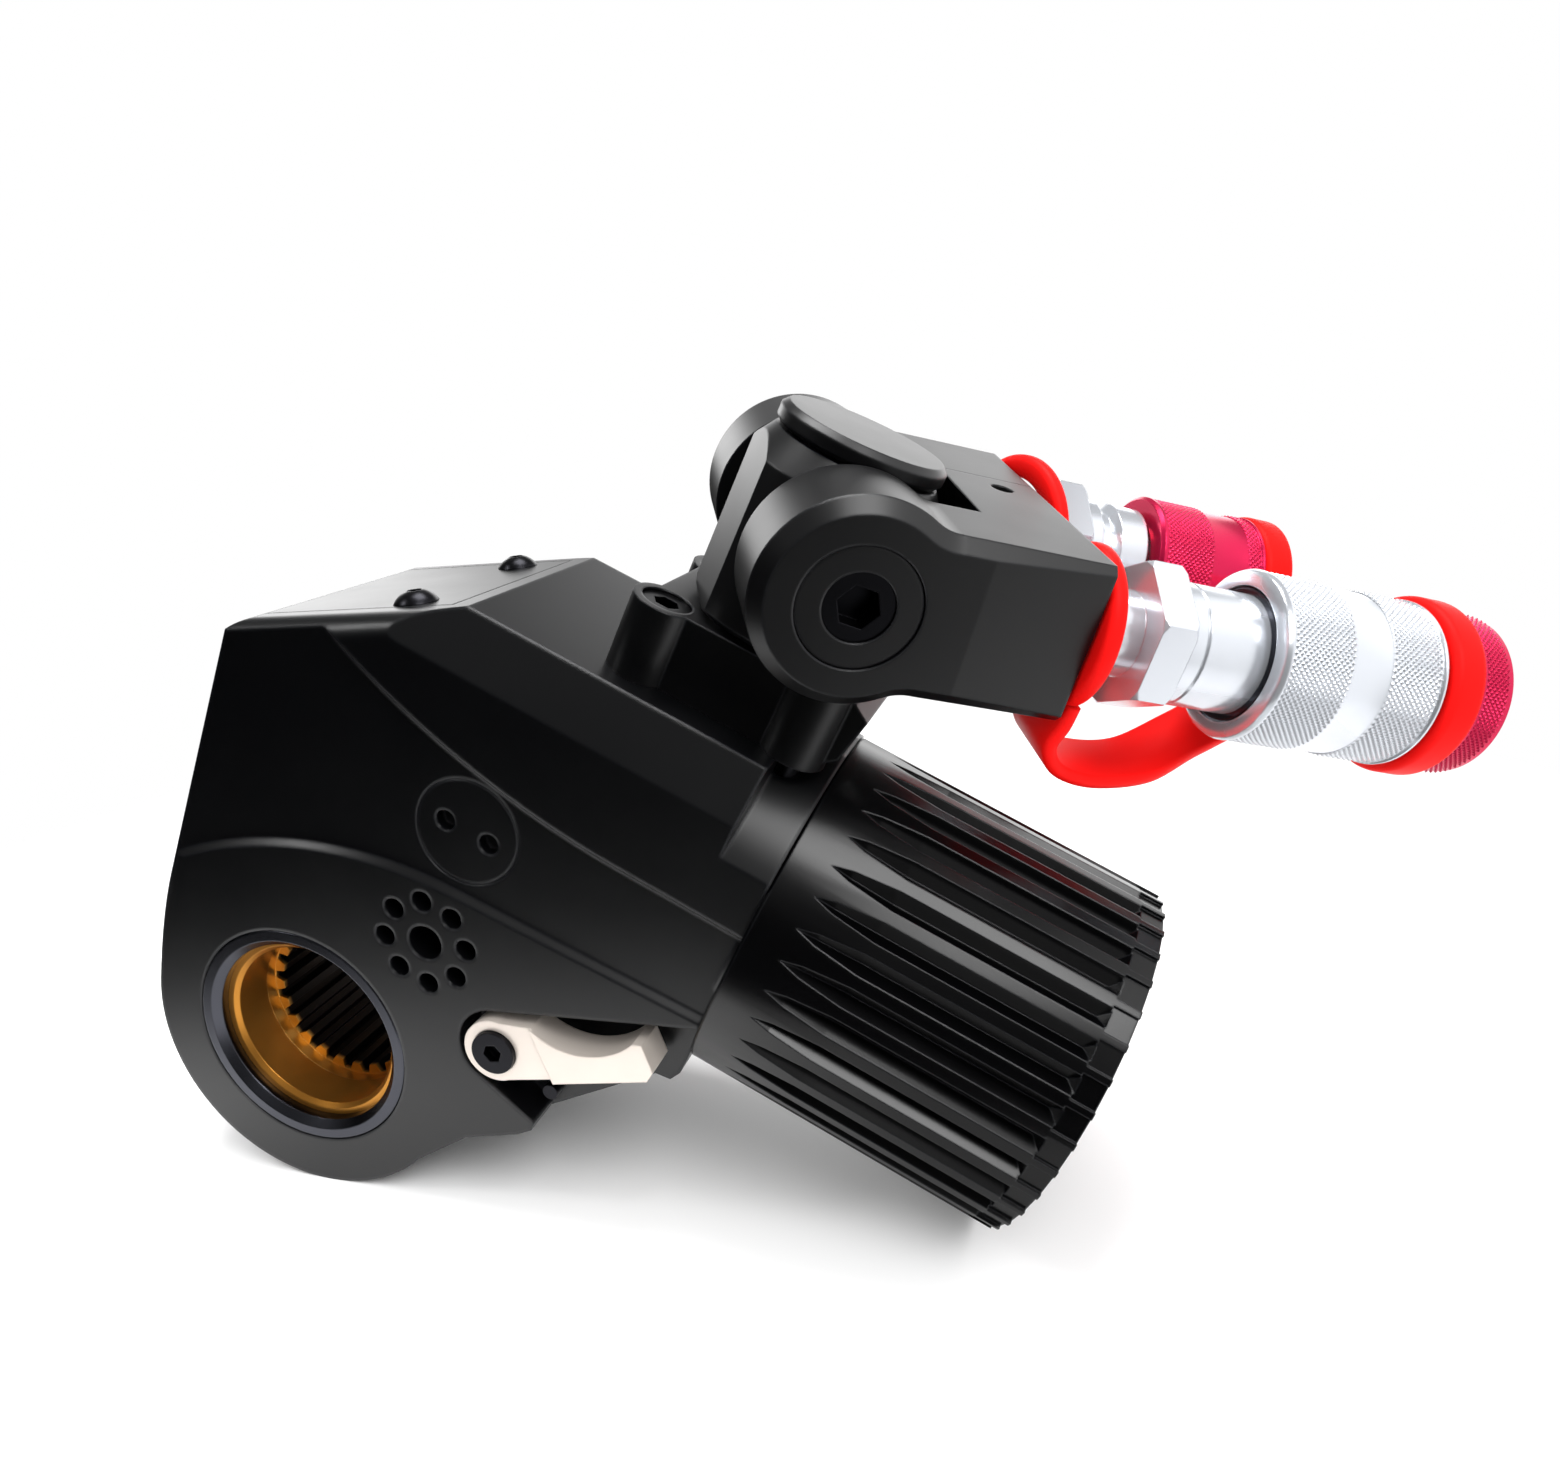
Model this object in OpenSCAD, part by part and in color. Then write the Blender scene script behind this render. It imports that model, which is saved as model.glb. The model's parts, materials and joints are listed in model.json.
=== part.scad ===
// Hydraulic torque wrench: ratchet housing, fluted cylinder end, two-axis hose swivel, two quick couplings.
// Millimetres, +Z up. Origin: middle of the drive bore. The tool stands on its round nose and on the lower
// rim of the cylinder end, so every piece is modelled level and tipped into that stance at the end.

/* [Housing] */
// Width across the two flat side faces
housing_w = 57; // [54:0.5:62]
// Radius of the round nose about the drive bore
nose_r = 33; // [32:0.5:35]
// Height of the cylinder axis above the drive axis
axis_h = 64; // [62:0.5:66]
// Distance from the drive axis back to the rear face
back_x = 37.5; // [36:0.5:40]
// Radius of the corner between the rear face and the sloping top
back_corner_r = 10; // [6:0.5:12]
// Where the sloping top meets the level top, from the drive axis
crease_x = 3.5; // [0:0.5:6]
// Angle of the sloping top
top_slope = 30; // [26:0.5:34]
// Drop of the wide bevel along the upper edges
bevel_drop = 9.5; // [6:0.5:11]
// Width of the wide bevel along the upper edges
bevel_w = 5; // [3:0.5:6]
// Depth of the sunk band across each side face
band_depth = 1.2; // [0.6:0.1:1.8]

/* [Drive bore] */
// Radius of the brass drive bore
bore_r = 17.5; // [16.5:0.1:18]
// Wall of the brass bush
bush_wall = 3.5; // [2.5:0.1:3.6]
// Outer radius of the bore's face ring
face_ring_r = 23.2; // [22.5:0.1:24.5]
// Thickness of the bore's face ring
face_ring_t = 3.2; // [2:0.1:4]

/* [Ratchet] */
// Number of ratchet teeth
ratchet_teeth = 30; // [24:6:30]
// Tip radius of the ratchet teeth
ratchet_tip_r = 27.5; // [27:0.1:27.8]
// Depth of the ratchet teeth
ratchet_depth = 2.5; // [2:0.1:2.6]
// Number of spline teeth in the ratchet
spline_teeth = 24; // [18:2:30]
// Tip radius of the spline teeth
spline_tip_r = 15.8; // [15.2:0.1:16.2]
// Width of the ratchet rim and of both pawls
rim_w = 15.4; // [12:0.2:15.6]
// Thickness of each drive plate
plate_t = 6; // [4:0.2:6.2]

/* [Cylinder] */
// Outer radius of the fluted cylinder end
cap_r = 33; // [32:0.5:34]
// Where the fluted cylinder end begins, from the drive axis
cap_x = 68.6; // [67:0.2:71]
// Length of the fluted cylinder end
cap_l = 60; // [56:0.5:64]
// Number of flutes
flutes = 36; // [30:2:40]
// Depth of each flute
flute_depth = 2.6; // [1.5:0.1:3]
// Length of plain collar before the flutes
collar_l = 6.6; // [5:0.2:9]
// Radius of the cylinder bore
cylinder_r = 24; // [23:0.2:25]
// Radius of the piston rod
rod_r = 10; // [8:0.2:10.5]
// Stroke of the piston
stroke = 27.2; // [20:0.2:27.4]

/* [Release lever] */
// Lever pivot, along the tool
lever_x = 37.3; // [36.5:0.1:38]
// Lever pivot, above the drive axis
lever_z = 23.4; // [22.8:0.1:24]
// Radius of the lever's round head
lever_head_r = 6.2; // [5.6:0.1:6.6]
// Depth of the pocket that the lever lies in
pocket_depth = 8; // [7:0.2:9]

/* [Swivel] */
// Distance of the swivel post from the drive axis
post_x = 48; // [46:0.5:50]
// Gap between the yoke's ears and the top of the swivel base
ear_clearance = 1.8; // [1:0.1:4]
// Radius of the swivel post
post_r = 9; // [7:0.2:9.6]
// Height of the swivel base block
base_h = 13.5; // [11:0.5:14]
// Turn of the swivel about its post
swivel_turn = 27; // [0:1:60]
// Tilt of the yoke above level
yoke_tilt = 9; // [0:1:60]
// Half of the yoke's width
yoke_half_w = 32; // [30.5:0.5:34]
// Radius of the yoke's round ears
ear_r = 16.2; // [15.4:0.2:16.6]
// Half of the yoke block's height
yoke_half_h = 13; // [12.4:0.2:14]
// Length of the yoke from the tilt axis to its port face
yoke_l = 36.6; // [35:0.2:40]
// Half of the gap between the yoke's ears
slot_half_w = 15.5; // [15.2:0.1:16]
// Radius of the tilt pins
tilt_pin_r = 7; // [6:0.1:7.5]
// Distance of each coupling's axis from the middle of the yoke
port_s = 21.1; // [20.5:0.1:22]
// Radius of the cap on the post
post_cap_r = 14.5; // [12:0.5:15]

/* [Couplings] */
// Radius of the coupling sleeve
sleeve_r = 14.2; // [13.2:0.1:14.6]
// Radius of the coupling body
coupling_r = 10; // [9.4:0.1:10.6]
// Width across flats of the coupling hexagons
coupling_hex = 22; // [20:0.5:24]
// Length of the sliding sleeve
sleeve_l = 30.4; // [28:0.2:32]
// Radius of the dust cap
dust_cap_r = 12.8; // [12.2:0.1:13.6]
// Thickness of the rubber straps
strap_t = 2.6; // [1.8:0.1:3]
// Width of the rubber straps
strap_w = 11; // [8:0.5:13]

/* [Hidden] */
$fn = 64;

// Gaps: between bodies that slide or turn on each other, between bodies that only pass, and round seals
running_gap = 0.05;
passing_gap = 0.3;
seal_gap = 0.06;
// A cut runs this far past the face it starts from
over = 1;
// A blending arc runs this far into the faces that it joins
blend_lap = 0.03;

// Stance: the floor touches the nose and the lower rim of the cylinder end
cap_end_x = cap_x + cap_l;
rim_low = axis_h - cap_r;
stance = atan2(rim_low, cap_end_x) + asin(nose_r / norm([cap_end_x, rim_low]));

// Housing
half_w = housing_w / 2;
top_h = axis_h + cap_r;
slope_dir = [cos(top_slope), sin(top_slope)];
slope_out = [-sin(top_slope), cos(top_slope)];
crease = [crease_x, top_h];
corner_x = back_corner_r - back_x;
corner_z = top_h + ((corner_x - crease_x) * sin(top_slope) - back_corner_r) / cos(top_slope);
corner = [corner_x, corner_z];
flare_z = 22;
flare_turn = atan2(flare_z, -back_x) + acos(nose_r / norm([back_x, flare_z]));
neck_x = cap_x - 9;
neck_r = cap_r + 0.4;
belly_turn = -20;
belly = [[38.1, 0.2], [47.2, 8], [64.6, rim_low - 0.9], [cap_x - 1.1, rim_low - 0.4], [cap_x, rim_low + 2]];
corner_soft = 4.5;

// Sunk band: its lower edge is an arc and a line, its upper edge another arc and a line
lower_arc_r = 83.5;
lower_arc = [24.3, -34.2];
lower_line_turn = 3.5;
upper_arc_r = 155.2;
upper_line_z = 69.2;
upper_arc = [45, upper_line_z + upper_arc_r];

// Shroud
shroud_t = 3;
shroud_half_w = 21.5;
shroud_low = 26;
shroud_back_off = 3.4;
screw_up = 14;
shroud_screw_y = 17.4;

// Cavity for the drive train
plate_in = rim_w / 2 + 0.5;
plate_out = plate_in + plate_t;
cavity_half_w = plate_out + 0.4;
hub_out = plate_out + 2.2;
hub_r = bore_r + 3;
boss_r = hub_r + 4;
cavity_r = ratchet_tip_r + 0.8;
bush_in = hub_out + 0.4;
bush_out = half_w - face_ring_t;
bush_r = bore_r + bush_wall;

// Drive train
rod_pin_x = 17.7;
rod_pin_r = 5;
pin_slot_gap = 0.35;
eye_r = 10;
arm_r = norm([rod_pin_x, axis_h]);
arm_turn = atan2(axis_h, rod_pin_x);
tooth = 360 / ratchet_teeth;
root_r = ratchet_tip_r - ratchet_depth;
spline_root_r = spline_tip_r + 1.9;
spline_recess = 2.6;
drive_turn = 132;
pawl_reach = 19;
pawl_heel_r = 4;
pawl_pin_r = 2.4;
pawl_nose = (root_r + 0.4) * [cos(drive_turn - 0.7), sin(drive_turn - 0.7)];
pawl_pivot = pawl_nose + pawl_reach * [sin(drive_turn), -cos(drive_turn)];
hold_turn = 72;
hold_nose_r = ratchet_tip_r + 0.45;
hold_nose = hold_nose_r * [cos(hold_turn), sin(hold_turn)] + [0.35, 0];

// Cylinder
gland_x = 44;
gland_l = 15;
gland_r = 15;
cylinder_x = gland_x + gland_l;
spigot_l = 9.4;
spigot_r = cylinder_r + 4;
cap_floor_t = 12.7;
cap_floor_x = cap_end_x - cap_floor_t;
piston_l = 14;
piston_x = cap_floor_x - 3 - piston_l;
land_l = 3.4;
land_drop = 0.7;

// Handle mounting pattern on both side faces
handle = [17.6, 36.1];
handle_pcd = 16.6;
handle_holes = 8;
handle_hole_r = 2.05;
handle_hole_depth = 6;
handle_thread_r = 3.4;
handle_thread_depth = 10;
cover = [17.7, 60.7];
cover_r = 9.8;
cover_t = 4;
cover_hole_r = 8.6;

// Release lever
lever_turn = 36.6;
lever_t = 4.4;
lever_proud = 0.8;
tab_t = 7;
pocket_gap = 1.6;
pocket_r = lever_head_r + pocket_gap;
pocket_floor = half_w - pocket_depth;
pocket_low_turn = -14.6;
pocket_high_turn = 29.5;
pocket_reach = 60;
pocket_lip = 14;
stop_pin = [49.2, 18.9];
lever_shaft_r = 4;

// Swivel
base_top = top_h + base_h;
pivot_h = base_top + ear_clearance + ear_r;
base_half_w = 19.5;
base_x0 = post_x - 19.7;
base_x1 = post_x + 16;
base_nose_x = post_x + 22;
base_mid_x = post_x - 1.8;
base_screw_dx = 14.6;
base_screw_y = 13.6;
cross_low = base_top + 0.8 - pivot_h;
cross_high = 14.2;
cross_half_w = slot_half_w - passing_gap;
cross_round = 17.3;
cross_face = 15.3;
cross_shoulder = 9.8;
post_cap_t = 3.6;
post_cap_low = cross_high + 0.4;
sweep_r = norm([post_cap_r - 1, post_cap_low + post_cap_t]) + 0.5;
pin_head_r = 9.45;
pin_head_t = 3;
tilt_plug_r = 5.5;
yoke_split = 8.6;
yoke_taper_x = 17.5;
yoke_taper = 1;
ear_blend_r = 8;
yoke_edge = 2.2;
wedge_lap = 0.3;

// Couplings, measured along each axis from the yoke's port face
neck_r0 = 7;
neck_l = 10;
neck_in = 9;
hex_l = 6;
anchor_z = 0.6;
anchor_t = 3.4;
anchor_r = 14.6;
far_anchor_z = 5;
far_anchor_r = 15.8;
far_anchor_in = 11.4;
far_anchor_t = 3;
far_anchor_lean = 15;
sleeve_z = 30;
sleeve_end = sleeve_z + sleeve_l;
socket_r = 6.2;
socket_l = 18;
groove_t = 0.6;
body_step = 3;
thin_z = 6;
stop_ring_z = 0.2;
stop_ring_t = 0.8;
stop_ring_proud = 1;
mouth_l = 5.4;
lip_l = 9;
edge_soft = 0.8;
waist_l = 5;
waist_drop = 0.5;
oil_r = 2.2;
poppet_r = 4.1;
poppet_l = 22;
poppet_stem_z = 9;
poppet_stem_r = 2;
poppet_head_t = 5;
spring_mid_r = 3.1;
spring_wire = 0.8;
ring_ease = 0.15;
ring_soft = 1.2;
ball_r = 1.35;
ball_gap = 0.02;
balls = 8;
thin_r = coupling_r - 1;
ball_mid_r = (socket_r + thin_r) / 2;
ball_z = sleeve_end - 6;
plug_ring_t = 5.9;
plug_head_t = 7;
plug_ring_r = 15.2;
plug_waist_r = 11;
nipple_shoulder = 26;
nose_r1 = 6;
nipple_end = 44;
nipple_dip = 1.6;
nipple_bore_l = 18;
nipple_poppet_r = 3.5;
nipple_head_l = 6;
dust_cap_z = 29.8;
dust_cap_l = 22.2;
cap_groove_r = dust_cap_r - 2.4;
cap_ring_t = 7.2;

// Straps: routes under each coupling, the near one curling round to the far side of the sleeve
band_steps = 5;
band_section = [[-1, -1, 0], [1, -1, 0], [1, 0, 0.7], [1, 1, 0], [-1, 1, 0], [-1, 0, -0.7]];
strap_low = sleeve_r + 9.6;
strap_near = sleeve_r + 2.6;
strap_wide = 1.6 * strap_w;
strap_slim = 0.9 * strap_w;
plug_stops = [
    [anchor_z + 2.2, anchor_r - 4, 0, strap_wide],
    [anchor_z + 1.2, anchor_r - 0.4, 0, strap_wide],
    [anchor_z - 2, anchor_r + 4.2, 0, 1.5 * strap_w],
    [anchor_z + 2.4, strap_low - 1.2, 0, 1.3 * strap_w],
    [anchor_z + 11, strap_low + 0.2, 0, 1.1 * strap_w],
    [sleeve_z - 8, strap_low - 1, 4, strap_w],
    [sleeve_z + 3, strap_near + 3, 20, strap_slim],
    [sleeve_z + 16, strap_near + 0.9, 42, strap_slim],
    [sleeve_end - 2.4, strap_near, 50, strap_slim],
    [sleeve_end + 2, strap_near - 1, 52, strap_slim],
    [sleeve_end + 4, plug_ring_r - 2.2, 52, strap_slim]];
cap_end = dust_cap_z + dust_cap_l;
cap_low = dust_cap_r + 8;
cap_near = dust_cap_r + 2.6;
cap_stops = [
    [far_anchor_z, far_anchor_r - 2.4, 0, strap_w],
    [far_anchor_z + 0.6, far_anchor_r + 1.8, 0, strap_w],
    [far_anchor_z + 4, cap_low - 1, 0, strap_w],
    [far_anchor_z + 12, cap_low, 0, strap_w],
    [dust_cap_z, cap_near + 3, 0, strap_slim],
    [cap_end - 6, cap_near + 0.2, 0, strap_slim],
    [cap_end + 1, cap_near - 0.4, 0, strap_slim],
    [cap_end + 3.4, dust_cap_r - 1, 0, strap_slim]];

// Screws: shank and head radii, depth in the housing, and how far heads lie below their face
shroud_screw_r = 2.1;
shroud_screw_l = 10;
shroud_head_r = 3.9;
shroud_head_h = 2.3;
base_bolt_r = 2.5;
base_bolt_in = 8;
base_head_r = 4.25;
base_head_t = 5;
base_head_drop = 0.5;
head_gap = 0.15;
lever_bolt_r = 2.5;
lever_bolt_l = 8;
lever_head_t = 1.6;
lever_bolt_head_r = 4.2;
stop_pin_r = 1.5;
stop_pin_in = 5;
piston_bolt_r = 4;
piston_head_r = 6.4;
piston_head_t = 4.7;
set_screw = [yoke_l - 7.5, 2.8];
set_screw_r = 2;

// Seals: cord of the round ones, depth and half width of the grooves of the flat ones
seal_cord_r = 0.75;
spigot_groove = 1.2;
lip_t = 1.2;
lip_half = 1.1;
post_seal_z = 5.5;
tilt_seal_y = 10;
rod_seal_l = 4;
rod_seal_t = 3;
port_dx = 12;
port_dy = 7;
port_seal_r = 2.6;

// Sunk ends: post in the base, stud of the post's cap, rod in the piston, tilt pins and their plugs
post_in = 8;
cap_stud_r = 4;
cap_stud_l = 9;
rod_in = 6;
rod_in_r = 8;
pin_sunk = 0.4;
pin_stop = 1.8;
tilt_plug_sunk = 0.8;
tilt_plug_t = 5;

// Moves pieces from the level tool frame into the standing frame
module in_stance() {
    rotate([0, stance, 0]) children();
}

// Frame of the swivel: origin on the tilt axis, X forward along the yoke, Y along the tilt axis
module at_post() {
    in_stance() translate([post_x, 0, pivot_h]) rotate([0, 0, swivel_turn]) children();
}

module at_yoke() {
    at_post() rotate([0, -yoke_tilt, 0]) children();
}

// Frame of a coupling: Z out of the yoke's port face; side is -1 for the coupler, 1 for the nipple
module at_port(side) {
    at_yoke() translate([yoke_l, side * port_s, 0]) rotate([0, 90, 0]) children();
}

// A flat outline drawn in X and Z, made solid from y0 to y1
module slab(y0, y1) {
    translate([0, y1, 0]) rotate([90, 0, 0]) linear_extrude(y1 - y0) children();
}

module cyl_y(r, y0, y1) {
    translate([0, y1, 0]) rotate([90, 0, 0]) cylinder(r = r, h = y1 - y0);
}

module cyl_x(r, x0, x1) {
    translate([x0, 0, axis_h]) rotate([0, 90, 0]) cylinder(r = r, h = x1 - x0);
}

module both_sides() {
    children();
    mirror([0, 1, 0]) children();
}

module ring(r_in, r_out, z0, z1) {
    translate([0, 0, z0]) difference() {
        cylinder(r = r_out, h = z1 - z0);
        translate([0, 0, -over]) cylinder(r = r_in, h = z1 - z0 + 2 * over);
    }
}

module o_ring(mid_r, cord_r) {
    rotate_extrude() translate([mid_r, 0]) circle(r = cord_r, $fn = 24);
}

// A hexagon socket, cut downwards from z = 0
module hex_socket(flats, depth) {
    translate([0, 0, -depth]) cylinder(r = flats / sqrt(3), h = depth + over, $fn = 6);
}

// A coil spring drawn as its tube: wall of one wire, between z0 and z1
module spring_tube(mid_r, wire, z0, z1) {
    ring(mid_r - wire / 2, mid_r + wire / 2, z0, z1);
}

// Housing outline in X and Z, moved in by inset along the rear face and the sloping top
module housing_outline(inset) {
    soft_r = back_corner_r - inset;
    rear = inset - back_x;
    crease_in = crease - [0, inset / cos(top_slope)];
    peak = [rear, crease_in[1] + (rear - crease_x) * tan(top_slope)];
    difference() {
        union() {
            circle(r = nose_r - inset);
            polygon(concat(
                [[0, 0], (nose_r - inset) * [cos(flare_turn), sin(flare_turn)], [rear, flare_z]],
                [peak, crease_in, [cap_x, top_h - inset]],
                [for (i = [len(belly) - 1:-1:0]) belly[i]],
                [nose_r * [cos(belly_turn), sin(belly_turn)]]));
        }
        difference() {
            polygon([corner, [rear - over, corner_z], peak + [-over, over],
                corner + (soft_r + over) * slope_out]);
            translate(corner) circle(r = soft_r + blend_lap);
        }
    }
}

// Cross-section limits: the wide bevels along the level top
module bevel_limits() {
    translate([crease_x, 0, 0]) rotate([90, 0, 90]) translate([0, 0, -back_x - 60])
        linear_extrude(cap_x + back_x + 80)
            polygon([[half_w, -nose_r - over], [half_w, top_h - bevel_drop], [half_w - bevel_w, top_h],
                [bevel_w - half_w, top_h], [-half_w, top_h - bevel_drop], [-half_w, -nose_r - over]]);
}

// Wide flat bar in X with its two upper corners rounded; its top lies on y = 0
module soft_bar() {
    difference() {
        translate([-half_w, -200]) square([housing_w, 200]);
        for (side = [-1, 1]) difference() {
            translate([side > 0 ? half_w - corner_soft : -half_w - over, -corner_soft])
                square([corner_soft + over, corner_soft + over]);
            translate([side * (half_w - corner_soft), -corner_soft]) circle(r = corner_soft);
        }
    }
}

module slope_limits() {
    translate([crease_x, 0, top_h]) rotate([0, -top_slope, 0]) rotate([90, 0, 90])
        translate([0, 0, -150]) linear_extrude(300) soft_bar();
}

module rear_limits() {
    translate([-back_x, 0, -nose_r - over]) rotate([0, 0, 90])
        linear_extrude(top_h + nose_r + 2 * over) soft_bar();
}

// What stays proud of the sunk band on the front face: cones and wedges give its edges their bevel
module band_lands() {
    low = -half_w - 2 * over;
    deep = band_depth - half_w + over;
    run = deep - low;
    lower_r = lower_arc_r + over;
    upper_r = upper_arc_r + over;
    translate([lower_arc[0], deep, lower_arc[1]]) rotate([90, 0, 0])
        cylinder(r1 = lower_r, r2 = lower_r - run, h = run, $fn = 180);
    translate([lower_arc[0], 0, lower_arc[1]]) rotate([0, -lower_line_turn, 0]) rotate([90, 0, 90])
        linear_extrude(90) polygon([[low, -60], [low, lower_r - run], [deep, lower_r], [deep, -60]]);
    translate([upper_arc[0], deep, upper_arc[1]]) rotate([90, 0, 0])
        cylinder(r1 = upper_r, r2 = upper_r - run, h = run, $fn = 180);
    translate([upper_arc[0], 0, upper_line_z - over]) rotate([90, 0, 90])
        linear_extrude(60) polygon([[low, 100], [low, run], [deep, 0], [deep, 100]]);
}

module band_cut() {
    difference() {
        translate([-back_x - over, -half_w - over, 0])
            cube([cap_x + back_x + 2 * over, over + band_depth, 150]);
        band_lands();
    }
}

// Lever pocket, open to the lower edge of the housing
module pocket_outline() {
    high_way = [cos(pocket_high_turn), sin(pocket_high_turn)];
    high_side = pocket_r * [-sin(pocket_high_turn), cos(pocket_high_turn)];
    low_way = [cos(pocket_low_turn), sin(pocket_low_turn)];
    low_side = pocket_r * [sin(pocket_low_turn), -cos(pocket_low_turn)];
    translate([lever_x, lever_z]) {
        circle(r = pocket_r);
        polygon([[0, 0], high_side, high_side + pocket_reach * high_way, [pocket_reach, -pocket_reach],
            [pocket_lip, -pocket_reach], low_side + (pocket_lip + 0.3) * low_way, low_side]);
    }
}

module cavity_outline() {
    circle(r = cavity_r);
    rear = shroud_t - back_x - over;
    high = axis_h + eye_r + 3.5;
    front = rod_pin_x + eye_r + 1.4;
    polygon([[-cavity_r, 0], [rear, shroud_low + 4], [rear, corner_z - 6], [-20, high], [front, high],
        [front, lever_z], [cavity_r, 0]]);
}

// Room for the holding pawl, narrower than the drive plates
module hold_pawl_room() {
    translate([lever_x, lever_z]) circle(r = 8.6);
    polygon([[rod_pin_x + eye_r, lever_z - 12], [lever_x - 2, lever_z - 8.4], [lever_x + 2, lever_z + 8.4],
        [rod_pin_x + eye_r, lever_z + 24]]);
}

module handle_pattern() {
    translate([handle[0], -half_w - over, handle[1]]) rotate([-90, 0, 0]) {
        cylinder(r = handle_thread_r, h = handle_thread_depth + over);
        for (i = [0:handle_holes - 1]) rotate([0, 0, 22.5 + i * 360 / handle_holes])
            translate([handle_pcd / 2, 0, 0]) cylinder(r = handle_hole_r, h = handle_hole_depth + over);
    }
}

module cover_seat() {
    translate([cover[0], 0, cover[1]]) {
        cyl_y(cover_r + 0.1, -half_w - over, band_depth + cover_t - half_w);
        cyl_y(cover_hole_r, -half_w, 0);
    }
}

module shroud_band() {
    intersection() {
        difference() {
            housing_outline(0);
            housing_outline(shroud_t);
        }
        translate([-100, shroud_low]) square([100 + crease_x - shroud_back_off, 200]);
    }
}

module at_shroud_screws() {
    for (side = [-1, 1]) translate([crease_x, side * shroud_screw_y, top_h]) rotate([0, -top_slope, 0])
        translate([-screw_up, 0, 0]) children();
}

module housing() {
    color([0.09, 0.095, 0.11]) in_stance() difference() {
        union() {
            difference() {
                intersection() {
                    slab(-half_w, half_w) housing_outline(0);
                    bevel_limits();
                    slope_limits();
                    rear_limits();
                }
                difference() {
                    translate([neck_x, -100, axis_h - 14]) cube([100, 200, 100]);
                    cyl_x(neck_r, neck_x - over, cap_x);
                }
                band_cut();
                mirror([0, 1, 0]) band_cut();
            }
            cyl_x(spigot_r, cap_x - 1, cap_x + spigot_l);
        }
        slab(-cavity_half_w, cavity_half_w) cavity_outline();
        slab(-rim_w / 2 - passing_gap, rim_w / 2 + passing_gap) hold_pawl_room();
        slab(-shroud_half_w - 0.1, shroud_half_w + 0.1) shroud_band();
        both_sides() {
            cyl_y(boss_r + running_gap, -bush_in, 0);
            cyl_y(bush_r, -half_w - over, -bush_in + over);
            cyl_y(face_ring_r, -half_w - over, face_ring_t - half_w);
            handle_pattern();
            cover_seat();
        }
        slab(-half_w - over, -pocket_floor) pocket_outline();
        translate([lever_x, 0, lever_z]) cyl_y(lever_shaft_r + running_gap, -half_w, pocket_floor);
        translate([stop_pin[0], 0, stop_pin[1]])
            cyl_y(stop_pin_r, -pocket_floor - over, stop_pin_in - pocket_floor);
        cyl_x(rod_r + 1, 0, gland_x + over);
        cyl_x(gland_r, gland_x, cylinder_x + over);
        cyl_x(cylinder_r, cylinder_x, cap_x + spigot_l + over);
        translate([cap_x + spigot_l / 2, 0, axis_h]) rotate([0, 90, 0])
            ring(spigot_r - 2 * seal_cord_r, spigot_r + over, -spigot_groove, spigot_groove);
        at_shroud_screws() translate([0, 0, -shroud_screw_l - 4])
            cylinder(r = shroud_screw_r, h = shroud_screw_l + 4);
        at_base_screws() translate([0, 0, top_h - base_bolt_in - over])
            cylinder(r = base_bolt_r, h = base_bolt_in + 2 * over);
    }
}

module shroud() {
    color([0.12, 0.125, 0.14]) in_stance() difference() {
        slab(-shroud_half_w, shroud_half_w) shroud_band();
        at_shroud_screws() translate([0, 0, -10]) cylinder(r = shroud_screw_r, h = 20);
    }
}

// Button-head socket screw standing on z = 0
module button_screw(head_r, head_h, shank_r, shank_l) {
    dome_r = (head_r * head_r + head_h * head_h) / (2 * head_h);
    difference() {
        union() {
            intersection() {
                translate([0, 0, head_h - dome_r]) sphere(r = dome_r);
                cylinder(r = head_r, h = head_h);
            }
            translate([0, 0, -shank_l]) cylinder(r = shank_r, h = shank_l + 0.2);
        }
        translate([0, 0, head_h]) hex_socket(2.5, 1.6);
    }
}

module shroud_screws() {
    color([0.06, 0.06, 0.07]) in_stance() at_shroud_screws()
        button_screw(shroud_head_r, shroud_head_h, shroud_screw_r, shroud_screw_l);
}

module cover_discs() {
    color([0.09, 0.095, 0.11]) in_stance() both_sides() translate([cover[0], 0, cover[1]]) difference() {
        cyl_y(cover_r, band_depth - half_w, band_depth + cover_t - half_w);
        for (side = [-1, 1]) translate([side * 4.4, 0, 0])
            cyl_y(1.9, band_depth - half_w - over, band_depth - half_w + 2.6);
    }
}

module face_rings() {
    inner = bore_r + 2;
    edge = 0.4;
    bevel = 1.4;
    color([0.2, 0.21, 0.24]) in_stance() both_sides() rotate([90, 0, 0])
        translate([0, 0, half_w - face_ring_t]) rotate_extrude() polygon([[inner, 0], [face_ring_r, 0],
            [face_ring_r, face_ring_t - edge], [face_ring_r - edge, face_ring_t],
            [inner + bevel, face_ring_t], [inner, face_ring_t - bevel]]);
}

module drive_bushes() {
    color([0.78, 0.56, 0.22]) in_stance() both_sides() rotate([90, 0, 0]) translate([0, 0, bush_in])
        rotate_extrude() polygon([[bore_r, 0], [bush_r, 0], [bush_r, bush_out - bush_in],
            [bore_r + 0.8, bush_out - bush_in], [bore_r, bush_out - bush_in - 0.8]]);
}

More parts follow.
